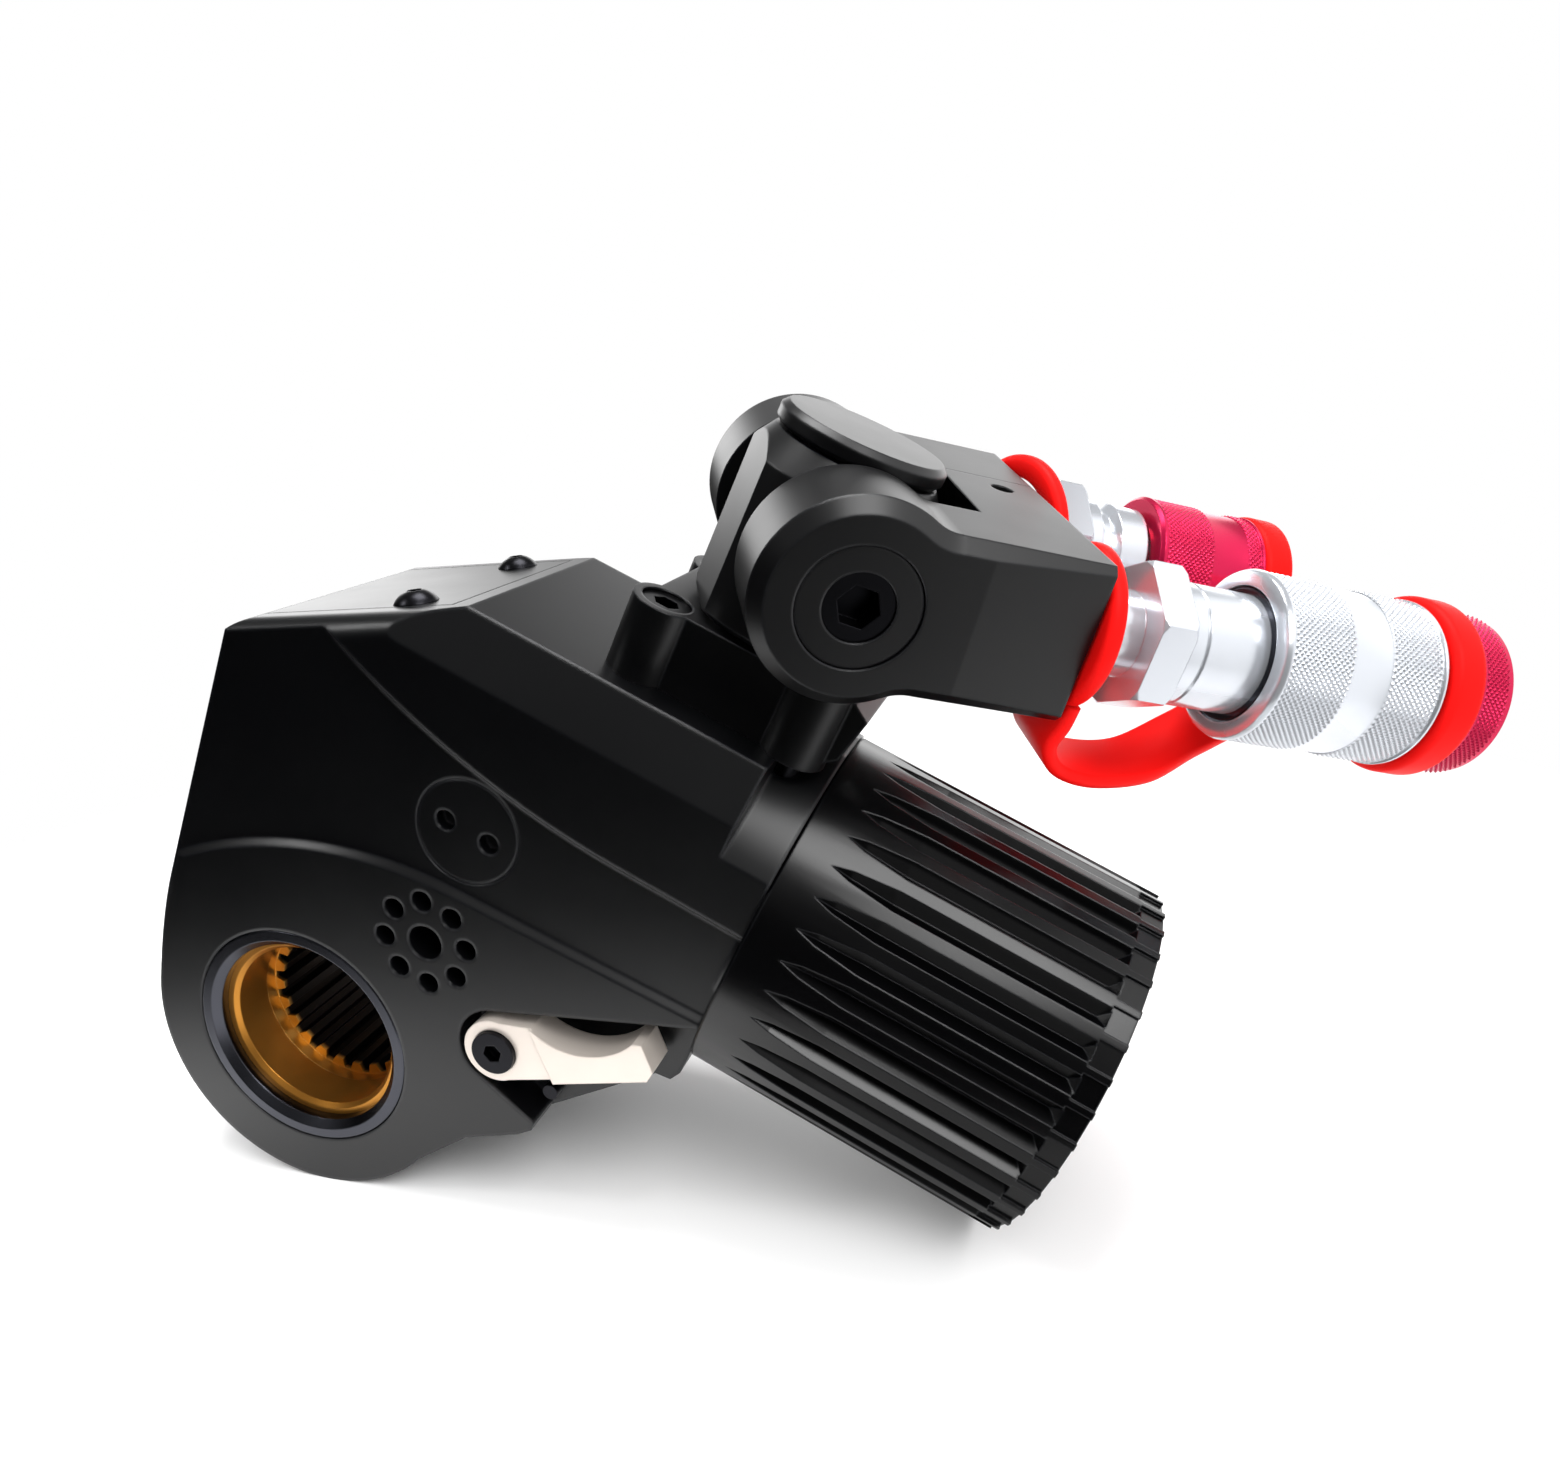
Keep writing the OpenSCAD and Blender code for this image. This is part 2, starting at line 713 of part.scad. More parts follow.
// One flute cutter at the top of the cylinder end: pointed start, V-shaped floor, sloping far end
module flute_cutter() {
    half = cap_r * sin(180 / flutes) * 0.78;
    high = cap_r + 0.6;
    low = cap_r - flute_depth;
    slope = (high - low) / half;
    start = cap_x + collar_l;
    full = start + 12;
    shallow = start + 4;
    far = cap_end_x - land_l;
    part_half = half * 0.62;
    part_low = high - slope * part_half;
    polyhedron(
        points = [[start - 1.4, 0, high],
            [shallow, -part_half, high], [shallow, part_half, high], [shallow, 0, part_low],
            [full, -half, high], [full, half, high], [full, 0, low],
            [far - 2.4, 0, low], [far + 0.5, -half, high], [far + 0.5, half, high]],
        faces = [[0, 2, 1], [0, 1, 3], [0, 3, 2], [1, 2, 5, 4], [1, 4, 6, 3], [2, 3, 6, 5],
            [4, 5, 9, 8], [4, 8, 7, 6], [5, 6, 7, 9], [7, 8, 9]]);
}

// Shallow flat between two ribs at the far end
module land_cutter() {
    half = cap_r * sin(180 / flutes) * 0.78;
    translate([cap_end_x - land_l - 1, -half, cap_r - land_drop]) cube([land_l + 1 + over, 2 * half, 4]);
}

module end_cap() {
    color([0.07, 0.072, 0.082]) in_stance() difference() {
        translate([cap_x, 0, axis_h]) rotate([0, 90, 0]) rotate_extrude($fn = 144) polygon([
            [spigot_r, 0], [cap_r - 0.5, 0], [cap_r, 0.5], [cap_r, cap_l], [cap_r - 4.2, cap_l],
            [cap_r - 5, cap_l - 0.8], [0, cap_l - 0.8], [0, cap_l - cap_floor_t],
            [cylinder_r, cap_l - cap_floor_t], [cylinder_r, spigot_l], [spigot_r, spigot_l]]);
        translate([0, 0, axis_h]) for (i = [0:flutes - 1]) rotate([(i + 0.5) * 360 / flutes, 0, 0]) {
            flute_cutter();
            land_cutter();
        }
    }
}

module end_cap_seal() {
    color([0.05, 0.05, 0.05]) in_stance() translate([cap_x + spigot_l / 2, 0, axis_h]) rotate([0, 90, 0])
        o_ring(spigot_r - seal_cord_r, seal_cord_r - seal_gap);
}

module rod_gland() {
    color([0.72, 0.52, 0.24]) in_stance() translate([gland_x, 0, axis_h]) rotate([0, 90, 0]) rotate_extrude()
        polygon([[rod_r + running_gap, 0], [gland_r, 0], [gland_r, gland_l], [rod_r + rod_seal_t, gland_l],
            [rod_r + rod_seal_t, gland_l - rod_seal_l], [rod_r + running_gap, gland_l - rod_seal_l]]);
}

module rod_seal() {
    color([0.08, 0.08, 0.09]) in_stance() translate([cylinder_x - rod_seal_l, 0, axis_h]) rotate([0, 90, 0])
        ring(rod_r + running_gap, rod_r + rod_seal_t, 0, rod_seal_l - 0.1);
}

module lever_stop_pin() {
    color([0.35, 0.35, 0.37]) in_stance() translate([stop_pin[0], 0, stop_pin[1]])
        cyl_y(stop_pin_r, -half_w + 2, stop_pin_in - pocket_floor);
}

module at_base_screws() {
    for (dx = [-1, 1], dy = [-1, 1])
        translate([base_mid_x + dx * base_screw_dx, dy * base_screw_y, 0]) children();
}

// Inlet block: corner columns round the screws, hollow sides between them, a wedge nose
module base_plan() {
    waist = base_half_w - 2.6;
    translate([base_x0 + 3, -waist]) square([base_x1 - base_x0 - 3, 2 * waist]);
    translate([base_x0, -base_screw_y]) square([12, 2 * base_screw_y]);
    for (dx = [-1, 1], dy = [-1, 1]) translate([base_mid_x + dx * base_screw_dx, dy * base_screw_y])
        circle(r = base_half_w - base_screw_y);
}

module swivel_base() {
    color([0.07, 0.072, 0.08]) in_stance() difference() {
        union() {
            translate([0, 0, top_h]) linear_extrude(base_h) base_plan();
            slab(-base_half_w + 4, base_half_w - 4) polygon([[post_x, top_h], [base_x1, top_h],
                [base_nose_x - 1.6, top_h + 3.4], [base_nose_x, top_h + base_h - 2],
                [base_nose_x - 3, base_top], [post_x, base_top]]);
        }
        at_base_screws() {
            translate([0, 0, base_top - base_head_t - base_head_drop])
                cylinder(r = base_head_r + head_gap, h = base_head_t + over);
            translate([0, 0, top_h - over]) cylinder(r = base_bolt_r, h = base_h + over);
        }
        for (dy = [-1, 1]) translate([post_x - port_dx, dy * port_dy, top_h - over])
            cylinder(r = port_seal_r + seal_cord_r + running_gap, h = over + 2 * seal_cord_r);
        translate([post_x, 0, base_top - post_in]) cylinder(r = post_r, h = post_in + over);
    }
}

module base_screws() {
    color([0.05, 0.05, 0.055]) in_stance() at_base_screws() difference() {
        union() {
            translate([0, 0, base_top - base_head_t - base_head_drop])
                cylinder(r = base_head_r, h = base_head_t);
            translate([0, 0, top_h - base_bolt_in])
                cylinder(r = base_bolt_r, h = base_bolt_in + base_h - base_head_t);
        }
        translate([0, 0, base_top - base_head_drop]) hex_socket(4, 3);
    }
}

module port_seals() {
    color([0.05, 0.05, 0.05]) in_stance() for (dy = [-1, 1])
        translate([post_x - port_dx, dy * port_dy, top_h + seal_cord_r])
            o_ring(port_seal_r, seal_cord_r - seal_gap);
}

module swivel_post() {
    color([0.5, 0.5, 0.52]) in_stance() translate([post_x, 0, 0]) difference() {
        translate([0, 0, base_top - post_in])
            cylinder(r = post_r, h = pivot_h + post_cap_low - base_top + post_in);
        translate([0, 0, pivot_h + post_cap_low - cap_stud_l - over])
            cylinder(r = cap_stud_r, h = cap_stud_l + 2 * over);
        for (dz = [-post_seal_z, post_seal_z]) translate([0, 0, pivot_h + dz])
            ring(post_r - lip_t, post_r + over, -lip_half, lip_half);
    }
}

module post_cap() {
    color([0.08, 0.082, 0.09]) in_stance() translate([post_x, 0, pivot_h + post_cap_low]) union() {
        rotate_extrude() polygon([[0, 0], [post_cap_r - edge_soft, 0], [post_cap_r, edge_soft],
            [post_cap_r, post_cap_t - 1], [post_cap_r - 1, post_cap_t], [0, post_cap_t]]);
        translate([0, 0, -cap_stud_l]) cylinder(r = cap_stud_r, h = cap_stud_l + 0.5);
    }
}

// Sawtooth rim: each tooth has a radial driving face and a long ramp
module ratchet_outline() {
    polygon([for (i = [0:ratchet_teeth - 1], s = [0:3])
        let (turn = i * tooth + s * tooth / 3)
        s == 3 ? root_r * [cos(turn), sin(turn)]
               : (ratchet_tip_r - ratchet_depth * s / 3) * [cos(turn), sin(turn)]]);
}

module spline_outline() {
    step = 360 / spline_teeth;
    polygon([for (i = [0:spline_teeth - 1], s = [[-0.3, spline_tip_r], [-0.16, spline_root_r],
        [0.16, spline_root_r], [0.3, spline_tip_r]])
        s[1] * [cos((i + s[0]) * step), sin((i + s[0]) * step)]]);
}

module ratchet_wheel() {
    color([0.3, 0.29, 0.28]) in_stance() difference() {
        union() {
            slab(-rim_w / 2, rim_w / 2) ratchet_outline();
            cyl_y(hub_r, -hub_out, hub_out);
        }
        slab(-hub_out - over, hub_out + over) spline_outline();
        both_sides() cyl_y(spline_root_r + 0.2, -hub_out - over, spline_recess - hub_out);
    }
}

module pin_slot() {
    half = rod_pin_r + pin_slot_gap;
    low = axis_h - 0.4;
    high = arm_r + 0.4;
    rotate([0, 0, arm_turn]) {
        translate([low, 0]) circle(r = half);
        translate([high, 0]) circle(r = half);
        translate([low, -half]) square([high - low, 2 * half]);
    }
}

// Teardrop arm from the drive axis to the rod pin
module plate_outline() {
    big = cavity_r - 0.5;
    lean = asin((big - eye_r) / arm_r);
    circle(r = big);
    rotate([0, 0, arm_turn]) {
        translate([arm_r, 0]) circle(r = eye_r);
        polygon([big * [sin(lean), cos(lean)], [arm_r, 0] + eye_r * [sin(lean), cos(lean)],
            [arm_r, 0] + eye_r * [sin(lean), -cos(lean)], big * [sin(lean), -cos(lean)]]);
    }
}

module drive_plates() {
    color([0.42, 0.42, 0.43]) in_stance() both_sides() difference() {
        union() {
            slab(-plate_out, -plate_in) plate_outline();
            cyl_y(boss_r, -hub_out, -plate_in);
        }
        cyl_y(hub_r + running_gap, -hub_out - over, 0);
        slab(-plate_out - over, -plate_in + over) pin_slot();
        translate([pawl_pivot[0], 0, pawl_pivot[1]]) cyl_y(pawl_pin_r, -plate_out - over, 0);
    }
}

module drive_pawl() {
    out = pawl_nose / norm(pawl_nose);
    along = [-sin(drive_turn), cos(drive_turn)];
    color([0.5, 0.49, 0.47]) in_stance() difference() {
        union() {
            translate([pawl_pivot[0], 0, pawl_pivot[1]]) cyl_y(pawl_heel_r, -rim_w / 2, rim_w / 2);
            slab(-rim_w / 2, rim_w / 2) polygon([pawl_nose, pawl_nose + 5 * out,
                pawl_pivot + (pawl_heel_r - 0.2) * out, pawl_pivot - (pawl_heel_r - 0.2) * out,
                pawl_pivot - 2 * out + 4 * along, pawl_nose - 5.4 * along + 2.9 * out]);
        }
        translate([pawl_pivot[0], 0, pawl_pivot[1]]) cyl_y(pawl_pin_r + running_gap, -rim_w, rim_w);
    }
}

module drive_pawl_pin() {
    color([0.6, 0.6, 0.6]) in_stance() translate([pawl_pivot[0], 0, pawl_pivot[1]])
        cyl_y(pawl_pin_r, -plate_out, plate_out);
}

// Spring on the back of the drive pawl
module pawl_spring() {
    out = pawl_nose / norm(pawl_nose);
    along = [-sin(drive_turn), cos(drive_turn)];
    seat = pawl_pivot + 0.42 * pawl_reach * along + (pawl_heel_r + 0.7) * out;
    color([0.7, 0.7, 0.68]) in_stance() translate([seat[0], 0, seat[1]])
        rotate([0, atan2(out[0], out[1]), 0]) spring_tube(2.2, spring_wire, 0, 4.5);
}

module piston() {
    color([0.6, 0.6, 0.62]) in_stance() translate([piston_x, 0, axis_h]) rotate([0, 90, 0]) difference() {
        cylinder(r = cylinder_r - running_gap, h = piston_l);
        translate([0, 0, piston_l / 2]) ring(cylinder_r - 3, cylinder_r + over, -2, 2);
        translate([0, 0, -over]) cylinder(r = rod_in_r, h = rod_in + over);
        translate([0, 0, piston_l - 5]) cylinder(r = piston_head_r + 0.1, h = 6);
        translate([0, 0, -over]) cylinder(r = piston_bolt_r, h = piston_l + 2 * over);
    }
}

module piston_seal() {
    color([0.1, 0.1, 0.11]) in_stance() translate([piston_x + piston_l / 2, 0, axis_h]) rotate([0, 90, 0])
        ring(cylinder_r - 3, cylinder_r - running_gap, -1.9, 1.9);
}

module piston_rod() {
    color([0.75, 0.76, 0.78]) in_stance() difference() {
        union() {
            intersection() {
                union() {
                    cyl_x(rod_r, rod_pin_x, piston_x);
                    translate([rod_pin_x, 0, axis_h]) cyl_y(rod_r, -rod_r, rod_r);
                }
                union() {
                    slab(-rim_w / 2 + 0.2, rim_w / 2 - 0.2)
                        translate([rod_pin_x - 20, axis_h - 20]) square([60, 40]);
                    cyl_x(rod_r, rod_pin_x + eye_r + stroke + 0.2, piston_x);
                }
            }
            cyl_x(rod_in_r, piston_x - over, piston_x + rod_in);
        }
        translate([rod_pin_x, 0, axis_h]) cyl_y(rod_pin_r, -rod_r - over, rod_r + over);
        cyl_x(piston_bolt_r, piston_x - 8, piston_x + rod_in + over);
    }
}

module piston_bolt() {
    color([0.1, 0.1, 0.11]) in_stance() difference() {
        union() {
            cyl_x(piston_bolt_r, piston_x - 7.5, piston_x + piston_l - 4.5);
            cyl_x(piston_head_r, piston_x + piston_l - 0.3 - piston_head_t, piston_x + piston_l - 0.3);
        }
        translate([piston_x + piston_l - 0.3, 0, axis_h]) rotate([0, 90, 0]) hex_socket(6, 3);
    }
}

module rod_pin() {
    color([0.55, 0.55, 0.57]) in_stance() translate([rod_pin_x, 0, axis_h])
        cyl_y(rod_pin_r, -plate_out, plate_out);
}

module at_lever() {
    in_stance() translate([lever_x, 0, lever_z]) rotate([0, -lever_turn, 0]) children();
}

// Thumb lever: flat round head, step, thicker scooped tab
module release_lever() {
    face_y = -half_w - lever_proud;
    color([0.86, 0.83, 0.76]) at_lever() difference() {
        union() {
            slab(face_y, face_y + lever_t) {
                circle(r = lever_head_r);
                polygon([[0, lever_head_r - 0.1], [8.8, 4.4], [12, -1], [12, 0.1 - lever_head_r],
                    [0, 0.1 - lever_head_r]]);
            }
            slab(face_y - 0.5, face_y - 0.5 + tab_t) difference() {
                polygon([[8.6, 4.6], [30.2, 0.6], [31, -4.8], [29.4, -6.6], [10.4, -6.8]]);
                translate([20.5, 13.6]) circle(r = 15);
            }
        }
        cyl_y(lever_bolt_r + 0.1, face_y - over, face_y + tab_t);
        cyl_y(lever_bolt_head_r + 0.1, face_y - over, face_y + lever_head_t);
    }
}

module lever_screw() {
    face_y = -half_w - lever_proud;
    color([0.05, 0.05, 0.055]) at_lever() difference() {
        union() {
            cyl_y(lever_bolt_head_r, face_y - 0.9, face_y + lever_head_t);
            cyl_y(lever_bolt_r, face_y, face_y + lever_t + lever_bolt_l);
        }
        translate([0, face_y - 0.9, 0]) rotate([90, 0, 0]) hex_socket(3.2, 1.7);
    }
}

module lever_shaft() {
    color([0.6, 0.6, 0.6]) at_lever() difference() {
        cyl_y(lever_shaft_r, -half_w - lever_proud + lever_t, pocket_floor - over);
        cyl_y(lever_bolt_r, -half_w, -half_w - lever_proud + lever_t + lever_bolt_l);
    }
}

module holding_pawl() {
    out = [cos(hold_turn), sin(hold_turn)];
    color([0.5, 0.49, 0.47]) in_stance() difference() {
        slab(-rim_w / 2, rim_w / 2) {
            translate([lever_x, lever_z]) circle(r = 7.6);
            polygon([hold_nose, hold_nose + [4.5, -0.2], hold_nose + [13.1, -4],
                [lever_x - 2, lever_z - 7.4], [lever_x + 1, lever_z + 7.4], hold_nose + 6 * out]);
        }
        translate([lever_x, 0, lever_z]) cyl_y(lever_shaft_r, -rim_w, rim_w);
    }
}

// Swivel body: round column with flat sides for the ears, a flat rear face and a conical shoulder
module cross_block() {
    high = cross_high - cross_low + 2 * over;
    color([0.09, 0.092, 0.1]) at_post() difference() {
        intersection() {
            rotate_extrude() polygon([[0, cross_low], [cross_round - 1, cross_low],
                [cross_round, cross_low + 1], [cross_round, cross_shoulder], [post_cap_r - 0.4, cross_high],
                [0, cross_high]]);
            translate([-cross_face, -cross_half_w, cross_low - over])
                cube([cross_face + cross_round + over, 2 * cross_half_w, high]);
        }
        translate([0, 0, cross_low - over]) cylinder(r = post_r + running_gap, h = high);
        both_sides() cyl_y(tilt_pin_r, -cross_half_w - over, -post_r - pin_stop + 0.2);
    }
}

module cross_seals() {
    color([0.05, 0.05, 0.05]) at_post() for (dz = [-post_seal_z, post_seal_z]) translate([0, 0, dz])
        ring(post_r - lip_t + seal_gap, post_r, seal_gap - lip_half, lip_half - seal_gap);
}

// Hollow tilt pins screwed into the cross block from outside each ear
module tilt_pins() {
    color([0.1, 0.102, 0.11]) at_post() both_sides() difference() {
        union() {
            cyl_y(tilt_pin_r, pin_sunk - yoke_half_w, -post_r - pin_stop);
            cyl_y(pin_head_r, pin_sunk - yoke_half_w, pin_head_t - yoke_half_w);
        }
        cyl_y(tilt_plug_r, -yoke_half_w - over, tilt_plug_sunk + tilt_plug_t + 0.2 - yoke_half_w);
        cyl_y(oil_r + 0.3, -yoke_half_w, -post_r);
        translate([0, tilt_seal_y - yoke_half_w, 0]) rotate([90, 0, 0])
            ring(tilt_pin_r - lip_t, tilt_pin_r + over, -lip_half, lip_half);
    }
}

module tilt_plugs() {
    color([0.13, 0.13, 0.14]) at_post() both_sides() difference() {
        cyl_y(tilt_plug_r, tilt_plug_sunk - yoke_half_w, tilt_plug_sunk + tilt_plug_t - yoke_half_w);
        translate([0, tilt_plug_sunk - yoke_half_w, 0]) rotate([90, 0, 0]) hex_socket(6, 3.4);
    }
}

module tilt_seals() {
    color([0.05, 0.05, 0.05]) at_post() both_sides()
        translate([0, tilt_seal_y - yoke_half_w, 0]) rotate([90, 0, 0])
            ring(tilt_pin_r - lip_t + seal_gap, tilt_pin_r, seal_gap - lip_half, lip_half - seal_gap);
}

// Side outline of the yoke: round ears that sweep into a square block
module yoke_outline() {
    blend_z = yoke_half_h + ear_blend_r;
    blend_x = sqrt(pow(ear_r + ear_blend_r, 2) - blend_z * blend_z);
    touch = ear_r / (ear_r + ear_blend_r) * [blend_x, blend_z];
    difference() {
        union() {
            circle(r = ear_r);
            translate([0, -yoke_half_h]) square([yoke_l, 2 * yoke_half_h]);
            translate([touch[0], -touch[1] - over / 2]) square([blend_x - touch[0], 2 * touch[1] + over]);
        }
        for (side = [-1, 1]) translate([blend_x, side * blend_z]) circle(r = ear_blend_r);
    }
}

// Cuts the outer edge of the near ear and block to a bevel: ring, blend cones and straight wedges
module yoke_edges() {
    blend_z = yoke_half_h + ear_blend_r;
    blend_x = sqrt(pow(ear_r + ear_blend_r, 2) - blend_z * blend_z);
    past = yoke_edge + over;
    difference() {
        rotate([90, 0, 0]) rotate_extrude() polygon([[ear_r - past, yoke_half_w + over],
            [ear_r + over, yoke_half_w + over], [ear_r + over, yoke_half_w - past]]);
        slab(-yoke_half_w - 2 * over, 0) polygon([[0, 0], 2 * [blend_x, blend_z], 2 * [blend_x, -blend_z]]);
    }
    for (up = [-1, 1]) {
        translate([blend_x, yoke_edge - yoke_half_w, up * blend_z]) rotate([90, 0, 0])
            cylinder(r1 = ear_blend_r, r2 = ear_blend_r + past, h = past);
        translate([blend_x - wedge_lap, 0, 0]) rotate([90, 0, 90]) linear_extrude(yoke_l) polygon([
            [-yoke_half_w - over, up * (yoke_half_h - past + blend_lap)],
            [-yoke_half_w - over, up * (yoke_half_h + over)],
            [past - blend_lap - yoke_half_w, up * (yoke_half_h + over)]]);
    }
}

module yoke_solid() {
    difference() {
        slab(-yoke_half_w, yoke_half_w) yoke_outline();
        both_sides() yoke_edges();
        translate([-ear_r - over, -slot_half_w, -40]) cube([ear_r + over, 2 * slot_half_w, 80]);
        cyl_y(sweep_r, -slot_half_w, slot_half_w);
        both_sides() {
            cyl_y(tilt_pin_r + running_gap, -yoke_half_w - over, 0);
            cyl_y(pin_head_r + 0.15, -yoke_half_w - over, -yoke_half_w + pin_head_t + 0.2);
            linear_extrude(80, center = true) polygon([[yoke_taper_x, -yoke_half_w],
                [yoke_l + over, yoke_taper - yoke_half_w], [yoke_l + over, -yoke_half_w - over],
                [yoke_taper_x, -yoke_half_w - over]]);
            translate([yoke_l - neck_in, -port_s, 0]) rotate([0, 90, 0])
                cylinder(r = neck_r0, h = neck_in + over);
        }
        translate([set_screw[0], set_screw[1], yoke_half_h - 6]) cylinder(r = set_screw_r, h = 7);
    }
}

module yoke() {
    color([0.1, 0.102, 0.11]) at_yoke() intersection() {
        yoke_solid();
        translate([-50, -100, -50]) cube([150, 100 + yoke_split, 100]);
    }
}

module yoke_arm() {
    color([0.1, 0.102, 0.11]) at_yoke() intersection() {
        yoke_solid();
        translate([-50, yoke_split, -50]) cube([150, 100, 100]);
    }
}

module yoke_set_screw() {
    color([0.4, 0.4, 0.41]) at_yoke() translate([set_screw[0], set_screw[1], 0]) difference() {
        translate([0, 0, yoke_half_h - 6]) cylinder(r = set_screw_r, h = 5);
        translate([0, 0, yoke_half_h - 1]) hex_socket(2, 2);
    }
}

// Hexagon with turned corners at both ends
module hex_bar(flats, z0, z1) {
    high = z1 - z0;
    corner_r = flats / sqrt(3);
    turned_r = corner_r - 0.7;
    translate([0, 0, z0]) intersection() {
        cylinder(r = corner_r, h = high, $fn = 6);
        cylinder(r1 = turned_r + high, r2 = turned_r, h = high);
        cylinder(r1 = turned_r, r2 = turned_r + high, h = high);
    }
}

module coupler_body() {
    hex_end = neck_l + hex_l;
    line_z = hex_end + body_step;
    thin_from = sleeve_z + thin_z;
    ring_z = sleeve_z + stop_ring_z;
    color([0.74, 0.75, 0.76]) at_port(-1) difference() {
        union() {
            translate([0, 0, -neck_in]) cylinder(r = neck_r0, h = neck_in + neck_l + over);
            hex_bar(coupling_hex, neck_l, hex_end);
            rotate_extrude() polygon([[0, hex_end - over], [coupling_r - groove_t, hex_end - over],
                [coupling_r - groove_t, hex_end + groove_t], [coupling_r, hex_end + groove_t],
                [coupling_r, line_z], [coupling_r - groove_t / 2, line_z + groove_t / 2],
                [coupling_r, line_z + groove_t], [coupling_r, thin_from], [thin_r, thin_from],
                [thin_r, sleeve_end - groove_t], [0, sleeve_end - groove_t]]);
        }
        translate([0, 0, sleeve_end - socket_l]) cylinder(r = socket_r, h = socket_l);
        translate([0, 0, neck_l - over]) cylinder(r = poppet_r + 0.1, h = sleeve_end);
        translate([0, 0, -neck_in - over]) cylinder(r = oil_r, h = neck_in + neck_l + over);
        at_balls() rotate([0, 90, 0]) cylinder(r = ball_r + ball_gap, h = coupling_r, center = true);
        ring(coupling_r - groove_t, coupling_r + over, ring_z, ring_z + stop_ring_t);
    }
}

// Wire ring on the body, inside the mouth of the sleeve
module coupler_ring() {
    color([0.3, 0.31, 0.32]) at_port(-1) ring(coupling_r - groove_t, coupling_r + stop_ring_proud,
        sleeve_z + stop_ring_z, sleeve_z + stop_ring_z + stop_ring_t);
}

module at_balls() {
    for (i = [0:balls - 1]) rotate([0, 0, i * 360 / balls]) translate([ball_mid_r, 0, ball_z]) children();
}

module locking_balls() {
    color([0.8, 0.8, 0.8]) at_port(-1) at_balls() sphere(r = ball_r - ball_gap);
}

module coupler_poppet() {
    stem = neck_l + poppet_stem_z;
    head = neck_l + poppet_l;
    tip = head + 1.6 * poppet_head_t;
    color([0.66, 0.6, 0.42]) at_port(-1) rotate_extrude() polygon([[0, stem], [poppet_stem_r, stem],
        [poppet_stem_r, head], [poppet_r, head], [poppet_r, head + poppet_head_t], [poppet_r - 1.5, tip],
        [0, tip]]);
}

module coupler_poppet_spring() {
    color([0.7, 0.7, 0.68]) at_port(-1)
        spring_tube(spring_mid_r, spring_wire, neck_l + over, neck_l + poppet_l);
}

// Sliding lock sleeve: knurled bands either side of a smooth waist
module coupler_sleeve() {
    waist0 = sleeve_z + sleeve_l * 0.57;
    waist1 = waist0 + waist_l;
    inner = coupling_r + passing_gap;
    mouth = coupling_r + stop_ring_proud + passing_gap + 0.1;
    waist_r = sleeve_r - waist_drop;
    slide_r = thin_r + running_gap;
    lip_z = sleeve_end - lip_l;
    color([0.78, 0.79, 0.8]) at_port(-1) rotate_extrude() polygon([
        [mouth, sleeve_z], [sleeve_r - edge_soft, sleeve_z], [sleeve_r, sleeve_z + edge_soft],
        [sleeve_r, waist0], [waist_r, waist0 + waist_drop], [waist_r, waist1 - waist_drop],
        [sleeve_r, waist1], [sleeve_r, sleeve_end - edge_soft], [sleeve_r - edge_soft, sleeve_end],
        [slide_r, sleeve_end], [slide_r, lip_z], [inner, lip_z], [inner, sleeve_z + mouth_l],
        [mouth, sleeve_z + mouth_l]]);
}

module sleeve_spring() {
    color([0.7, 0.7, 0.68]) at_port(-1)
        spring_tube(thin_r + 0.65, spring_wire, sleeve_z + thin_z, sleeve_end - lip_l);
}

// Anodised dust plug: probe in the socket, waist for the rubber ring, knurled head
module dust_plug() {
    start = sleeve_end + passing_gap;
    head = start + plug_ring_t;
    last = head + plug_head_t;
    head_r = sleeve_r - 0.2;
    probe = sleeve_end - socket_l + 2;
    probe_r = socket_r - running_gap;
    color([0.72, 0.05, 0.2]) at_port(-1) rotate_extrude() polygon([
        [0, probe], [socket_r - 0.5, probe], [probe_r, probe + 1], [probe_r, start],
        [plug_waist_r, start], [plug_waist_r, head], [head_r - 0.5, head], [head_r, head + 0.5],
        [head_r, last - 1], [head_r - 1, last], [0, last]]);
}

// A stop on a strap's route is [along the coupling, out from its axis, turn about it, width]
function stop_point(s) = [s[1] * cos(s[2]), s[1] * sin(s[2]), s[0]];

function unit(v) = v / norm(v);

// Smooth curve from b to c, between a and d
function bend(a, b, c, d, t) =
    b + t / 2 * (c - a + t * (2 * a - 5 * b + 4 * c - d + t * (3 * b - a - 3 * c + d)));

function smooth_route(stops, steps) = let (last = len(stops) - 1) concat(
    [for (i = [0:last - 1], k = [0:steps - 1])
        bend(stops[max(i - 1, 0)], stops[i], stops[i + 1], stops[min(i + 2, last)], k / steps)],
    [stops[last]]);

// Corners of the band's rounded section at each step of the route
function band_rings(route, thick) = [for (i = [0:len(route) - 1])
    let (here = stop_point(route[i]),
        along = unit(stop_point(route[min(i + 1, len(route) - 1)]) - stop_point(route[max(i - 1, 0)])),
        flat = [-sin(route[i][2]), cos(route[i][2]), 0],
        across = unit(flat - (flat * along) * along),
        face = cross(across, along))
    [for (c = band_section) here + c[0] * (route[i][3] / 2 - thick / 2 * (1 - abs(c[2]))) * across
        + c[1] * thick / 2 * face + c[2] * thick / 2 * across]];

